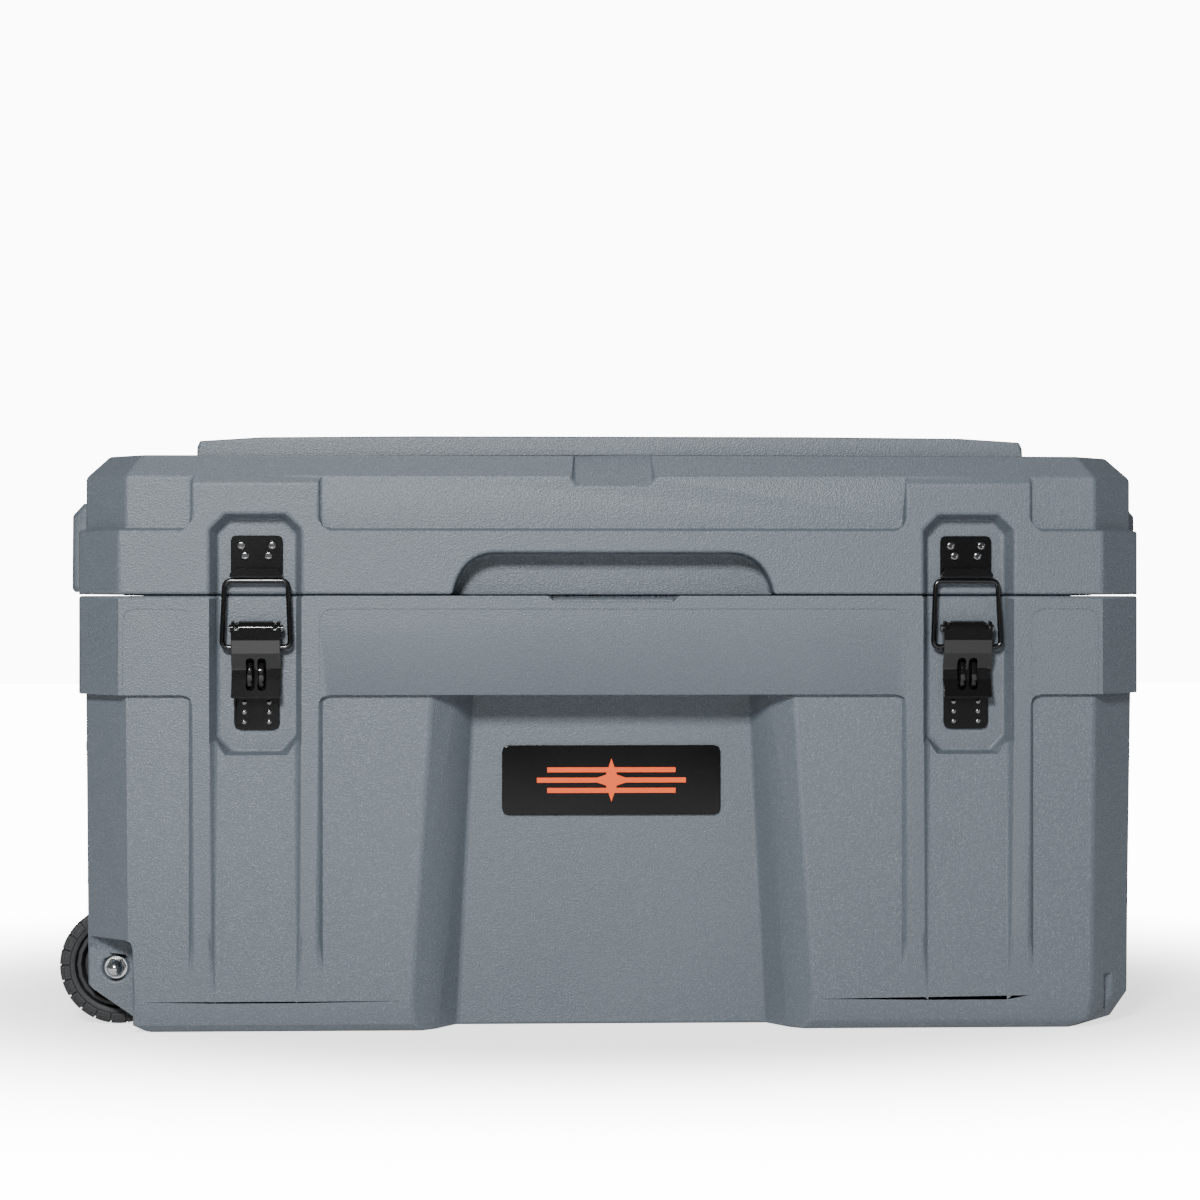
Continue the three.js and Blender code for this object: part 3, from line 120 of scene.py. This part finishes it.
floor_tree.links.new(floor_place.outputs["Object"], floor_squeeze.inputs["Vector"])
floor_tree.links.new(floor_squeeze.outputs["Vector"], floor_reach.inputs[0])
floor_tree.links.new(floor_reach.outputs["Value"], floor_fade.inputs["Value"])
floor_tree.links.new(floor_fade.outputs["Result"], floor_glow.inputs[0])
floor_tree.links.new(floor_seen.outputs["Is Camera Ray"], floor_glow.inputs[1])
floor_tree.links.new(floor_glow.outputs[0], floor_shader.inputs["Emission Strength"])
sweep.materials.append(floor_paint)


# ------------------------------------------------------------------ moulded case and lid
# Rotomoulded polyethylene in slate grey: the case shell, the tub that lines it and the lid's shell, with a
# fine pebbled skin and paler specks painted into the colour as glints. The rounds are the mould's own edge
# radii.
def grain_and_glint_group():
    """Pebble grain shared by the moulded pieces: cell bumps a millimetre or so across over slow waviness.
    Gives a mask of paler specks that are painted glints, a height for a Bump node and a slow tint from 0 to 1."""
    tree = bpy.data.node_groups.new("pebble_grain_and_glints", "ShaderNodeTree")
    sockets = tree.interface
    sockets.new_socket("Size", in_out="INPUT", socket_type="NodeSocketFloat").default_value = 800.0
    for name in ("Painted glints", "Height", "Tint"):
        sockets.new_socket(name, in_out="OUTPUT", socket_type="NodeSocketFloat")
    node = tree.nodes.new
    link = tree.links.new
    coords = node("ShaderNodeTexCoord")
    enter = node("NodeGroupInput")
    leave = node("NodeGroupOutput")
    cells = node("ShaderNodeTexVoronoi")
    cells.feature = "SMOOTH_F1"
    cells.inputs["Smoothness"].default_value = 0.6
    fine = node("ShaderNodeTexNoise")
    fine.inputs["Detail"].default_value = 3.0
    half = node("ShaderNodeMath")
    half.operation = "MULTIPLY"
    half.inputs[1].default_value = 1.7
    slow = node("ShaderNodeTexNoise")
    slow.inputs["Scale"].default_value = 9.0
    slow.inputs["Detail"].default_value = 4.0
    link(coords.outputs["Object"], cells.inputs["Vector"])
    link(coords.outputs["Object"], fine.inputs["Vector"])
    link(coords.outputs["Object"], slow.inputs["Vector"])
    link(enter.outputs["Size"], cells.inputs["Scale"])
    link(enter.outputs["Size"], half.inputs[0])
    link(half.outputs[0], fine.inputs["Scale"])
    blend = node("ShaderNodeMath")
    blend.operation = "MULTIPLY_ADD"
    blend.inputs[1].default_value = 0.6
    link(fine.outputs["Fac"], blend.inputs[0])
    link(cells.outputs["Distance"], blend.inputs[2])
    # Paler specks where the fine noise is high: painted glints of the pebbled skin.
    painted_glints = node("ShaderNodeMapRange")
    painted_glints.inputs["From Min"].default_value = 0.55
    painted_glints.inputs["From Max"].default_value = 0.72
    link(fine.outputs["Fac"], painted_glints.inputs["Value"])
    link(painted_glints.outputs["Result"], leave.inputs["Painted glints"])
    link(blend.outputs[0], leave.inputs["Height"])
    link(slow.outputs["Fac"], leave.inputs["Tint"])
    return tree


pebble_grain_and_glints = grain_and_glint_group()


def moulded_plastic(name, dark, light, painted_glint_colour, roughness=0.5, bump=0.35, depth=0.0004, size=800.0):
    """Pebbled plastic: base colour drifts slowly from dark to light, with paler specks painted on the grain as
    glints.
    """
    material = bpy.data.materials.new(name)
    material.use_nodes = True
    tree = material.node_tree
    shader = tree.nodes["Principled BSDF"]
    grain = tree.nodes.new("ShaderNodeGroup")
    grain.node_tree = pebble_grain_and_glints
    grain.inputs["Size"].default_value = size
    drift = tree.nodes.new("ShaderNodeMix")
    drift.data_type = "RGBA"
    drift.inputs["A"].default_value = (*dark, 1)
    drift.inputs["B"].default_value = (*light, 1)
    # Painted glints: the glint colour mixed into the base colour as paler specks.
    painted_glints = tree.nodes.new("ShaderNodeMix")
    painted_glints.data_type = "RGBA"
    painted_glints.inputs["B"].default_value = (*painted_glint_colour, 1)
    rough = tree.nodes.new("ShaderNodeMapRange")
    rough.inputs["To Min"].default_value = roughness - 0.08
    rough.inputs["To Max"].default_value = roughness + 0.08
    raised = tree.nodes.new("ShaderNodeBump")
    raised.inputs["Strength"].default_value = bump
    raised.inputs["Distance"].default_value = depth
    link = tree.links.new
    link(grain.outputs["Tint"], drift.inputs["Factor"])
    link(drift.outputs["Result"], painted_glints.inputs["A"])
    link(grain.outputs["Painted glints"], painted_glints.inputs["Factor"])
    link(painted_glints.outputs["Result"], shader.inputs["Base Color"])
    link(grain.outputs["Tint"], rough.inputs["Value"])
    link(rough.outputs["Result"], shader.inputs["Roughness"])
    link(grain.outputs["Height"], raised.inputs["Height"])
    link(raised.outputs["Normal"], shader.inputs["Normal"])
    return material


def add_piece(name, mesh, material, body, slot, *nodes):
    """Links a finished mesh as a piece that rides on a body, takes the given material as its finish and stands
    for nodes. The slot is not used.
    """
    piece = bpy.data.objects.new(name, mesh)
    bpy.context.collection.objects.link(piece)
    mesh.materials.clear()
    mesh.materials.append(material)
    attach(piece, body)
    if nodes:
        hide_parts(*nodes)
    return piece


def clear_of(point, start, end):
    """Distance from a point to a straight edge, or 1 where the point lies beyond either of its ends."""
    along = end - start
    share = (point - start).dot(along) / along.length_squared
    return (point - start - along * share).length if 0.0 < share < 1.0 else 1.0


CLEAR_SINE = 0.44       # sine of the least angle at which a neighbouring edge limits a round
ROUND_SHARE = 0.45      # share of the distance to an edge that is rounded too
PLAIN_SHARE = 0.8       # share of the distance to an edge that stays as it is


def edge_room(edge, sharp):
    """Widest round that an edge can take. An edge that meets it at a clear angle gives its length square to
    this one, and one across a shared face gives its distance. Each counts times ROUND_SHARE where the other
    edge is hard too and PLAIN_SHARE where only this one is, and the least of them is the room."""
    room = 1.0
    ends = [corner.co for corner in edge.verts]
    for corner in edge.verts:
        along = (edge.other_vert(corner).co - corner.co).normalized()
        for other in corner.link_edges:
            reach = other.other_vert(corner).co - corner.co
            across = reach.cross(along).length
            if other is not edge and across > CLEAR_SINE * reach.length:
                room = min(room, across * (ROUND_SHARE if other.index in sharp else PLAIN_SHARE))
    for face in edge.link_faces:
        for other in face.edges:
            if set(other.verts) & set(edge.verts):
                continue
            far = [corner.co for corner in other.verts]
            near = min([clear_of(p, *ends) for p in far] + [clear_of(p, *far) for p in ends])
            room = min(room, near * (ROUND_SHARE if other.index in sharp else PLAIN_SHARE))
    return room


MERGE = 2e-5            # corners closer than this are one corner
FLAT_ANGLE = 0.15       # degrees that neighbouring triangles of one flat face may differ by


def softened(node, name, material, body, slot, radius, segments=3, angle=24):
    """A copy of a hard-edged node with its flat faces joined up, and every edge that has room for it rounded
    to the radius. An edge counts as hard where its faces turn by more than the given angle."""
    work = bmesh.new()
    work.from_mesh(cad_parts[node].data)
    bmesh.ops.remove_doubles(work, verts=work.verts, dist=MERGE)
    bmesh.ops.dissolve_degenerate(work, edges=work.edges, dist=MERGE)
    bmesh.ops.dissolve_limit(work, angle_limit=np.radians(FLAT_ANGLE), verts=work.verts, edges=work.edges)
    work.edges.ensure_lookup_table()
    sharp = {edge.index for edge in work.edges if edge.calc_face_angle(0.0) > np.radians(angle)}
    rounded = [float(e.index in sharp and edge_room(e, sharp) >= radius) for e in work.edges]
    mesh = bpy.data.meshes.new(name)
    work.to_mesh(mesh)
    work.free()
    mesh.attributes.new("bevel_weight_edge", "FLOAT", "EDGE").data.foreach_set("value", rounded)
    piece = add_piece(name, mesh, material, body, slot, node)
    rounds = piece.modifiers.new("rounds", "BEVEL")
    rounds.width = radius
    rounds.segments = segments
    rounds.limit_method = "WEIGHT"
    rounds.use_clamp_overlap = False
    mesh.shade_smooth()
    mesh.set_sharp_from_angle(angle=np.radians(angle))
    flats = piece.modifiers.new("flats", "WEIGHTED_NORMAL")
    flats.keep_sharp = True
    return piece


MOULD_R = 0.0022        # edge radius of the three shells
slate = moulded_plastic("slate_polyethylene", (0.085, 0.102, 0.120), (0.100, 0.118, 0.137),
                        (0.205, 0.230, 0.255), 0.46, 0.6, 0.0005)
softened("body_shell", "case_shell", slate, "case", "moulded", MOULD_R)
softened("storage_liner", "tub", slate, "case", "moulded", MOULD_R)
softened("lid_shell", "lid_cover", slate, "lid", "moulded", MOULD_R)


def dressed(material, *nodes):
    """Gives CAD nodes that stay as they are a finish through their own material slots."""
    for node in nodes:
        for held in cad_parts[node].material_slots:
            held.material = material


# ------------------------------------------------------------------ foam cores, fill plugs and gasket
# Poured urethane foam fills both shells through holes in the rear that nylon plugs close. A soft rubber
# gasket stands in a groove of the lid and seals against the rim.
foam = moulded_plastic("cream_foam", (0.62, 0.55, 0.36), (0.72, 0.66, 0.46), (0.8, 0.76, 0.6), 0.85, 0.5,
                       0.0006, 260)
nylon = moulded_plastic("black_nylon", (0.012, 0.012, 0.013), (0.018, 0.018, 0.02), (0.035, 0.035, 0.037),
                        0.42, 0.12, 0.0002, 1400)
rubber = moulded_plastic("black_rubber", (0.014, 0.0145, 0.0155), (0.022, 0.0225, 0.024),
                         (0.05, 0.052, 0.055), 0.62, 0.3, 0.0003, 1100)
dressed(foam, "body_foam", "lid_foam")
softened("body_fill_plug", "body_plug", nylon, "case", "nylon", 0.0006)
softened("lid_fill_plug", "lid_plug", nylon, "lid", "nylon", 0.0006)
softened("lid_gasket", "seal_ring", rubber, "lid", "rubber", 0.0012)


# ------------------------------------------------------------------ draw latches
# Pressed steel with a satin black powder coat: a base with two ears, a lever that rolls round its pin, a
# bent wire bail and a hooked keeper. Rivets hold the base and button-head screws hold the keeper.
def coated_steel(name, colour, light, roughness):
    """Powder coat over steel: faint orange peel, slow changes of gloss, a thin clear top and paler specks in
    the lighter tone painted as glints.
    """
    material = moulded_plastic(name, colour, light, light, roughness, 0.10, 0.00012, 2200)
    shader = material.node_tree.nodes["Principled BSDF"]
    shader.inputs["Specular IOR Level"].default_value = 0.35
    shader.inputs["Coat Weight"].default_value = 0.5
    shader.inputs["Coat Roughness"].default_value = 0.08
    return material


def ringed_mesh(name, *stacks, looped=False):
    """One mesh of closed tubes. Each stack is an array of rings (ring, point round it, xyz). Neighbouring
    rings are joined by quads, then the two end rings are filled, or joined to each other when looped. A
    stack whose enclosed volume comes out negative is turned over so that it faces outwards."""
    points, faces, start = [], [], 0
    for rings in stacks:
        count, around = rings.shape[:2]
        index = np.arange(count * around).reshape(count, around)
        rows = np.vstack([index, index[:1]]) if looped else index
        ahead = np.roll(rows, -1, axis=1)
        quads = np.stack([rows[:-1], ahead[:-1], ahead[1:], rows[1:]], axis=-1).reshape(-1, 4)
        flat = rings.reshape(-1, 3)
        a, b, c, d = (flat[quads[:, k]] - flat.mean(axis=0) for k in range(4))
        volume = np.sum(np.cross(a, b) * c) + np.sum(np.cross(a, c) * d)
        turn = -1 if volume < 0 else 1
        faces += (quads[:, ::turn] + start).tolist()
        if not looped:
            faces += [(index[0][::-turn] + start).tolist(), (index[-1][::turn] + start).tolist()]
        points.append(flat)
        start += len(flat)
    mesh = bpy.data.meshes.new(name)
    mesh.from_pydata(np.vstack(points).tolist(), [], faces)
    mesh.shade_smooth()
    mesh.set_sharp_from_angle(angle=np.radians(38))
    return mesh


def wire_rings(corners, bend, radius, around=20, steps=8):
    """Rings of a bent wire that lies in one plane. Its centre line is straight between corners and rounds
    each inner one by the curve (1-s)^2 enter + 2s(1-s) corner + s^2 leave, with enter and leave at the bend
    distance from it. A ring is the centre plus radius times (cos v side + sin v plane normal)."""
    corners = np.array(corners, float)
    runs = np.diff(corners, axis=0)
    runs /= np.linalg.norm(runs, axis=1)[:, None]
    enter, leave = corners[1:-1] - runs[:-1] * bend, corners[1:-1] + runs[1:] * bend
    s = np.linspace(0, 1, steps)[None, :, None]
    curves = (1 - s) ** 2 * enter[:, None] + 2 * s * (1 - s) * corners[1:-1, None] + s ** 2 * leave[:, None]
    line = np.vstack([corners[:1], curves.reshape(-1, 3), corners[-1:]])
    steps_along = np.diff(line, axis=0)
    steps_along /= np.linalg.norm(steps_along, axis=1)[:, None]
    tangent = np.vstack([steps_along[:1], steps_along[:-1] + steps_along[1:], steps_along[-1:]])
    tangent /= np.linalg.norm(tangent, axis=1)[:, None]
    normal = np.cross(runs[0], runs[1])
    normal /= np.linalg.norm(normal)
    side = np.cross(tangent, normal)
    v = np.linspace(0, 2 * np.pi, around, endpoint=False)[None, :, None]
    return line[:, None] + radius * (np.cos(v) * side[:, None] + np.sin(v) * normal)


def turned_rings(profile, centre, axis, around=32, hexed=None):
    """Rings of a turned surface: at each (radius, distance along) of the profile a ring round the axis.
    Where hexed is 1 the ring is a hexagon with that radius as its half width across flats, 0 is a circle."""
    profile = np.array(profile, float)
    hexed = np.zeros(len(profile)) if hexed is None else np.array(hexed, float)
    v = np.linspace(0, 2 * np.pi, around, endpoint=False)
    flat_gain = 1 / np.cos((v + np.pi / 6) % (np.pi / 3) - np.pi / 6)
    radius = profile[:, :1] * (1 + hexed[:, None] * (flat_gain - 1))
    along = np.array(axis, float)
    side = np.array((0, 0, 1.0)) if abs(along[2]) < 0.5 else np.array((1.0, 0, 0))
    across = np.cross(along, side)
    ring = np.cos(v)[:, None] * side + np.sin(v)[:, None] * across
    return np.array(centre, float) + radius[..., None] * ring + profile[:, 1][:, None, None] * along


satin_black = coated_steel("satin_black_coat", (0.0015, 0.0015, 0.0018), (0.003, 0.003, 0.0034), 0.2)
screw_black = coated_steel("blackened_screw", (0.16, 0.16, 0.165), (0.24, 0.24, 0.245), 0.2)
screw_black.node_tree.nodes["Principled BSDF"].inputs["Metallic"].default_value = 1.0
BUTTON = [(0.0034, 0.0), (0.0034, 0.0003), (0.0031, 0.0009), (0.0024, 0.0013), (0.0019, 0.0014),
          (0.0016, 0.0014), (0.0015, 0.0012), (0.0014, 0.0004)]
BUTTON_HEX = [0, 0, 0, 0, 0, 1, 1, 1]
RIVET = [(0.0019, 0.0), (0.0018, 0.0004), (0.0014, 0.0007), (0.0008, 0.0009), (0.0002, 0.00095)]
BUTTON_HIGH = 0.0014    # from a screw head's seat to its top
RIVET_HIGH = 0.001
BAIL_R = 0.002
BAIL_BEND = 0.0055      # from a corner of the wire to where its bend starts
BAIL_TOP = 0.024        # half width of the wire's centre line at its top
BAIL_FOOT = 0.01665     # from the latch's middle to the inner end of each foot
KEEPER_SCREWS = ((-0.0118, 0.37175), (0.0118, 0.37175), (-0.0089, 0.36375), (0.0089, 0.36375))
RIVET_COLUMNS = (-0.0095, 0.0095)
RIVET_ROWS = (0.23675, 0.24425, 0.25175)
for side, latch_x in (("left", -0.2725), ("right", 0.2725)):
    latch = f"latch_{side}"
    softened(f"{latch}_lever", f"{side}_lever", satin_black, f"{latch}_lever", "black_steel", 0.0005, 2)
    softened(f"{latch}_keeper", f"{side}_keeper", satin_black, "lid", "black_steel", 0.0005, 2)
    softened(f"{latch}_base", f"{side}_base", satin_black, "case", "black_steel", 0.0005, 2)
    softened(f"{latch}_staple", f"{side}_padlock_loops", satin_black, "case", "black_steel", 0.0012, 3)
    softened(f"{latch}_lever_pin", f"{side}_lever_pin", screw_black, "case", "black_steel", 0.0004, 2)
    low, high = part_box(f"{latch}_bail")
    foot = (low.y + BAIL_R, low.z + BAIL_R)
    bar = (high.y - BAIL_R, high.z - BAIL_R)
    bail_out = (high.x - low.x) / 2 - BAIL_R
    corners = [(latch_x + u, *place) for u, place in (
        (BAIL_FOOT, foot), (bail_out, foot), (BAIL_TOP, bar),
        (-BAIL_TOP, bar), (-bail_out, foot), (-BAIL_FOOT, foot))]
    bail = ringed_mesh(f"{side}_bail", wire_rings(corners, BAIL_BEND, BAIL_R))
    add_piece(f"{side}_bail", bail, satin_black, f"{latch}_bail", "black_steel", f"{latch}_bail")
    screw_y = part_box(f"{latch}_keeper_screws")[0].y + BUTTON_HIGH
    screws = [turned_rings(BUTTON, (latch_x + u, screw_y, z), (0, -1, 0), 36, BUTTON_HEX)
              for u, z in KEEPER_SCREWS]
    add_piece(f"{side}_keeper_screws", ringed_mesh("heads", *screws), screw_black, "lid", "black_steel",
              f"{latch}_keeper_screws")
    rivet_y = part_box(f"{latch}_base_rivets")[0].y + RIVET_HIGH
    rivets = [turned_rings(RIVET, (latch_x + u, rivet_y, z), (0, -1, 0), 20)
              for u in RIVET_COLUMNS for z in RIVET_ROWS]
    add_piece(f"{side}_rivets", ringed_mesh("rivets", *rivets), screw_black, "case", "black_steel",
              f"{latch}_base_rivets")


# ------------------------------------------------------------------ badge
# A gloss black plate glued into the recess, with a raised orange star on three bars.
gloss_black = moulded_plastic("badge_gloss", (0.001, 0.001, 0.0013), (0.002, 0.002, 0.0024),
                              (0.004, 0.004, 0.0045), 0.14, 0.03, 0.0001, 1500)
gloss_black.node_tree.nodes["Principled BSDF"].inputs["Specular IOR Level"].default_value = 0.3
orange = moulded_plastic("badge_orange", (0.86, 0.085, 0.0), (0.90, 0.095, 0.0), (0.92, 0.105, 0.0), 0.5,
                         0.05, 0.0001, 1500)
softened("badge_plate", "badge", gloss_black, "case", "badge_black", 0.0007)
softened("badge_emblem", "badge_star", orange, "case", "badge_orange", 0.0002, 2)


# ------------------------------------------------------------------ axle, washers and cap nuts
# A through rod in plain steel, held at both ends by a washer and a stainless cap nut in a lowered seat.
bright = coated_steel("stainless", (0.52, 0.53, 0.54), (0.62, 0.63, 0.64), 0.2)
bright.node_tree.nodes["Principled BSDF"].inputs["Metallic"].default_value = 1.0
dressed(bright, "axle_rod", "axle_washer_front", "axle_washer_rear")
NUT = [(0.0052, 0.0), (0.0062, 0.0003), (0.0065, 0.0009), (0.0065, 0.0056), (0.0064, 0.0064),
       (0.0062, 0.0067), (0.0061, 0.0078), (0.0056, 0.0096), (0.0044, 0.0112), (0.0028, 0.0123),
       (0.0012, 0.0129), (0.0002, 0.013)]
NUT_HEX = [0.2, 0.7, 1, 1, 0.7, 0.1, 0, 0, 0, 0, 0, 0]
for place, side in (("front", -1), ("rear", 1)):
    low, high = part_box(f"axle_nut_{place}")
    nut_from = high.y if side < 0 else low.y
    centre = ((low.x + high.x) / 2, nut_from, (low.z + high.z) / 2)
    nut = ringed_mesh(f"nut_{place}", turned_rings(NUT, centre, (0, side, 0), 48, NUT_HEX))
    add_piece(f"cap_nut_{place}", nut, bright, "case", "stainless", f"axle_nut_{place}")


# ------------------------------------------------------------------ wheels
# Solid rubber tyres with a ring of square shoulder blocks, on nylon hubs. The bushes pressed into the hubs
# share the foam's cream finish.
def tyre_rings(centre, outer):
    """A tyre as one looped surface round Y. Its section runs from the bead over the side, shoulder and tread
    and back. Narrow grooves between blocks lower it by a depth that each section point carries, and a panel
    in the side of each block is sunk by half a millimetre: radius = r - groove * dr, width = y - groove * dy
    - panel * dp, where groove and panel are 1 on their share of each block's pitch and 0 elsewhere."""
    side = np.array([  # r below the outer radius, y, groove dr, groove dy, panel dp
        (12.2, 14.5, 0, 0, 0), (11.6, 16.6, 0, 0, 0), (10.2, 17.2, 0, 0, 0), (8.4, 17.3, 0, 0, 0),
        (8.2, 17.3, 0, 0, 0), (8.0, 18.3, 0, 1.0, 0), (7.7, 18.6, 0, 1.3, 0), (6.2, 18.7, 0, 1.5, 0),
        (6.0, 18.7, 0, 1.6, 0.5), (3.4, 18.5, 0, 1.6, 0.5), (3.2, 18.5, 0, 1.6, 0), (1.4, 18.2, 0.5, 1.6, 0),
        (0.5, 17.6, 1.4, 1.2, 0), (0.05, 16.4, 2.0, 0.4, 0), (0, 15.0, 2.2, 0, 0), (0, 9.0, 2.2, 0, 0),
        (0, 3.4, 2.2, 0, 0), (0.2, 3.0, 2.0, 0, 0), (2.0, 2.6, 0.2, 0, 0), (2.0, 0.5, 0.2, 0, 0)]) / 1000
    other = side[::-1] * (1, -1, 1, -1, -1)
    section = np.vstack([side, other])
    blocks = 22
    share = np.array([0, 0.045, 0.065, 0.2, 0.22, 0.4, 0.6, 0.78, 0.8, 0.935, 0.955])
    turn = ((np.arange(blocks)[:, None] + share) / blocks).ravel() * 2 * np.pi
    groove = np.tile((share < 0.055) | (share > 0.945), blocks).astype(float)
    panel = np.tile((share > 0.21) & (share < 0.79), blocks).astype(float)
    r = outer - section[:, :1] - section[:, 2:3] * groove
    y = section[:, 1:2] - section[:, 3:4] * groove - section[:, 4:5] * panel
    return np.array(centre) + np.stack([r * np.cos(turn), y, r * np.sin(turn)], axis=-1)


for place in ("front", "rear"):
    low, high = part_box(f"wheel_{place}_tyre")
    centre = (low + high) / 2
    tyre = ringed_mesh("tyre", tyre_rings(centre, (high.z - low.z) / 2), looped=True)
    add_piece(f"{place}_tyre", tyre, rubber, f"wheel_{place}", "tyre", f"wheel_{place}_tyre")
    softened(f"wheel_{place}_hub", f"{place}_hub", nylon, f"wheel_{place}", "nylon", 0.0008, 2)
    dressed(foam, f"wheel_{place}_bush")


# ------------------------------------------------------------------ rear hinges
# Two butt hinges in black steel, with stainless pins and button-head screws into the rear wall.
SCREW_IN = 0.0016       # from the outermost point of a hinge's screws to the seat of their heads
for side, hinge_x in (("left", -0.255), ("right", 0.255)):
    for leaf, body in (("body", "case"), ("lid", "lid")):
        softened(f"hinge_{side}_{leaf}_leaf", f"{side}_{leaf}_leaf", satin_black, body, "black_steel",
                 0.0005, 2)
        low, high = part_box(f"hinge_{side}_{leaf}_screws")
        middle_z = (low.z + high.z) / 2
        screws = [turned_rings(BUTTON, (hinge_x + u, high.y - SCREW_IN, middle_z), (0, 1, 0), 36, BUTTON_HEX)
                  for u in (-0.03, -0.01, 0.01, 0.03)]
        add_piece(f"{side}_{leaf}_leaf_screws", ringed_mesh("heads", *screws), bright, body, "stainless",
                  f"hinge_{side}_{leaf}_screws")
    dressed(bright, f"hinge_{side}_pin")


# ------------------------------------------------------------------ end handles
# Bent steel rod in the same black coat, each with a ribbed rubber grip, hung from two bolted brackets.
ROD_R = 0.005
ROD_BEND = 0.0069       # from a corner of the rod to where its bend starts
ARM_Y = 0.060           # from a handle's middle to the centre line of each arm
GRIP_BORE = 0.0053
GRIP_END_R = 0.0088
GRIP_R = 0.0104
GRIP_RIBS = 18
for handle, outward in (("carry_handle", -1), ("tow_handle", 1)):
    low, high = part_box(f"{handle}_frame")
    rod_x = (low.x + high.x) / 2
    tip, pivot = (high.y - low.y) / 2, high.z - ROD_R
    middle_y, grip_z = (low.y + high.y) / 2, low.z + ROD_R
    corners = [(rod_x, middle_y + y, z) for y, z in (
        (-tip, pivot), (-ARM_Y, pivot), (-ARM_Y, grip_z), (ARM_Y, grip_z), (ARM_Y, pivot), (tip, pivot))]
    rod = ringed_mesh("rod", wire_rings(corners, ROD_BEND, ROD_R, 24))
    add_piece(f"{handle}_rod", rod, satin_black, handle, "black_steel", f"{handle}_frame")
    grip_half = (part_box(f"{handle}_grip")[1].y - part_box(f"{handle}_grip")[0].y) / 2
    along = np.linspace(-1, 1, 121)
    rib = GRIP_R - 0.0005 * np.cos(along * GRIP_RIBS * np.pi) - 0.0006 * along ** 2
    profile = np.column_stack([rib, along * grip_half])
    near_end = [(GRIP_BORE, -grip_half), (GRIP_END_R, -grip_half)]
    far_end = [(GRIP_END_R, grip_half), (GRIP_BORE, grip_half)]
    profile = np.vstack([near_end, profile[1:-1], far_end, (GRIP_BORE, 0.0)])
    grip = ringed_mesh("grip", turned_rings(profile, (rod_x, middle_y, grip_z), (0, 1, 0), 32), looped=True)
    add_piece(f"{handle}_ribbed_grip", grip, rubber, handle, "rubber", f"{handle}_grip")
    for place in ("front", "rear"):
        softened(f"{handle}_bracket_{place}", f"{handle}_{place}_bracket", satin_black, "case",
                 "black_steel", 0.0008, 2)


# ------------------------------------------------------------------ drain
# A nylon bush through the wall, a rubber seal and a screwed plug with a fluted knob.
softened("drain_bush", "drain_collar", nylon, "case", "nylon", 0.0008, 2)
softened("drain_seal", "drain_ring", rubber, "drain_seal", "rubber", 0.0006, 2)
softened("drain_plug", "drain_knob", nylon, "drain_plug", "nylon", 0.0008, 2)
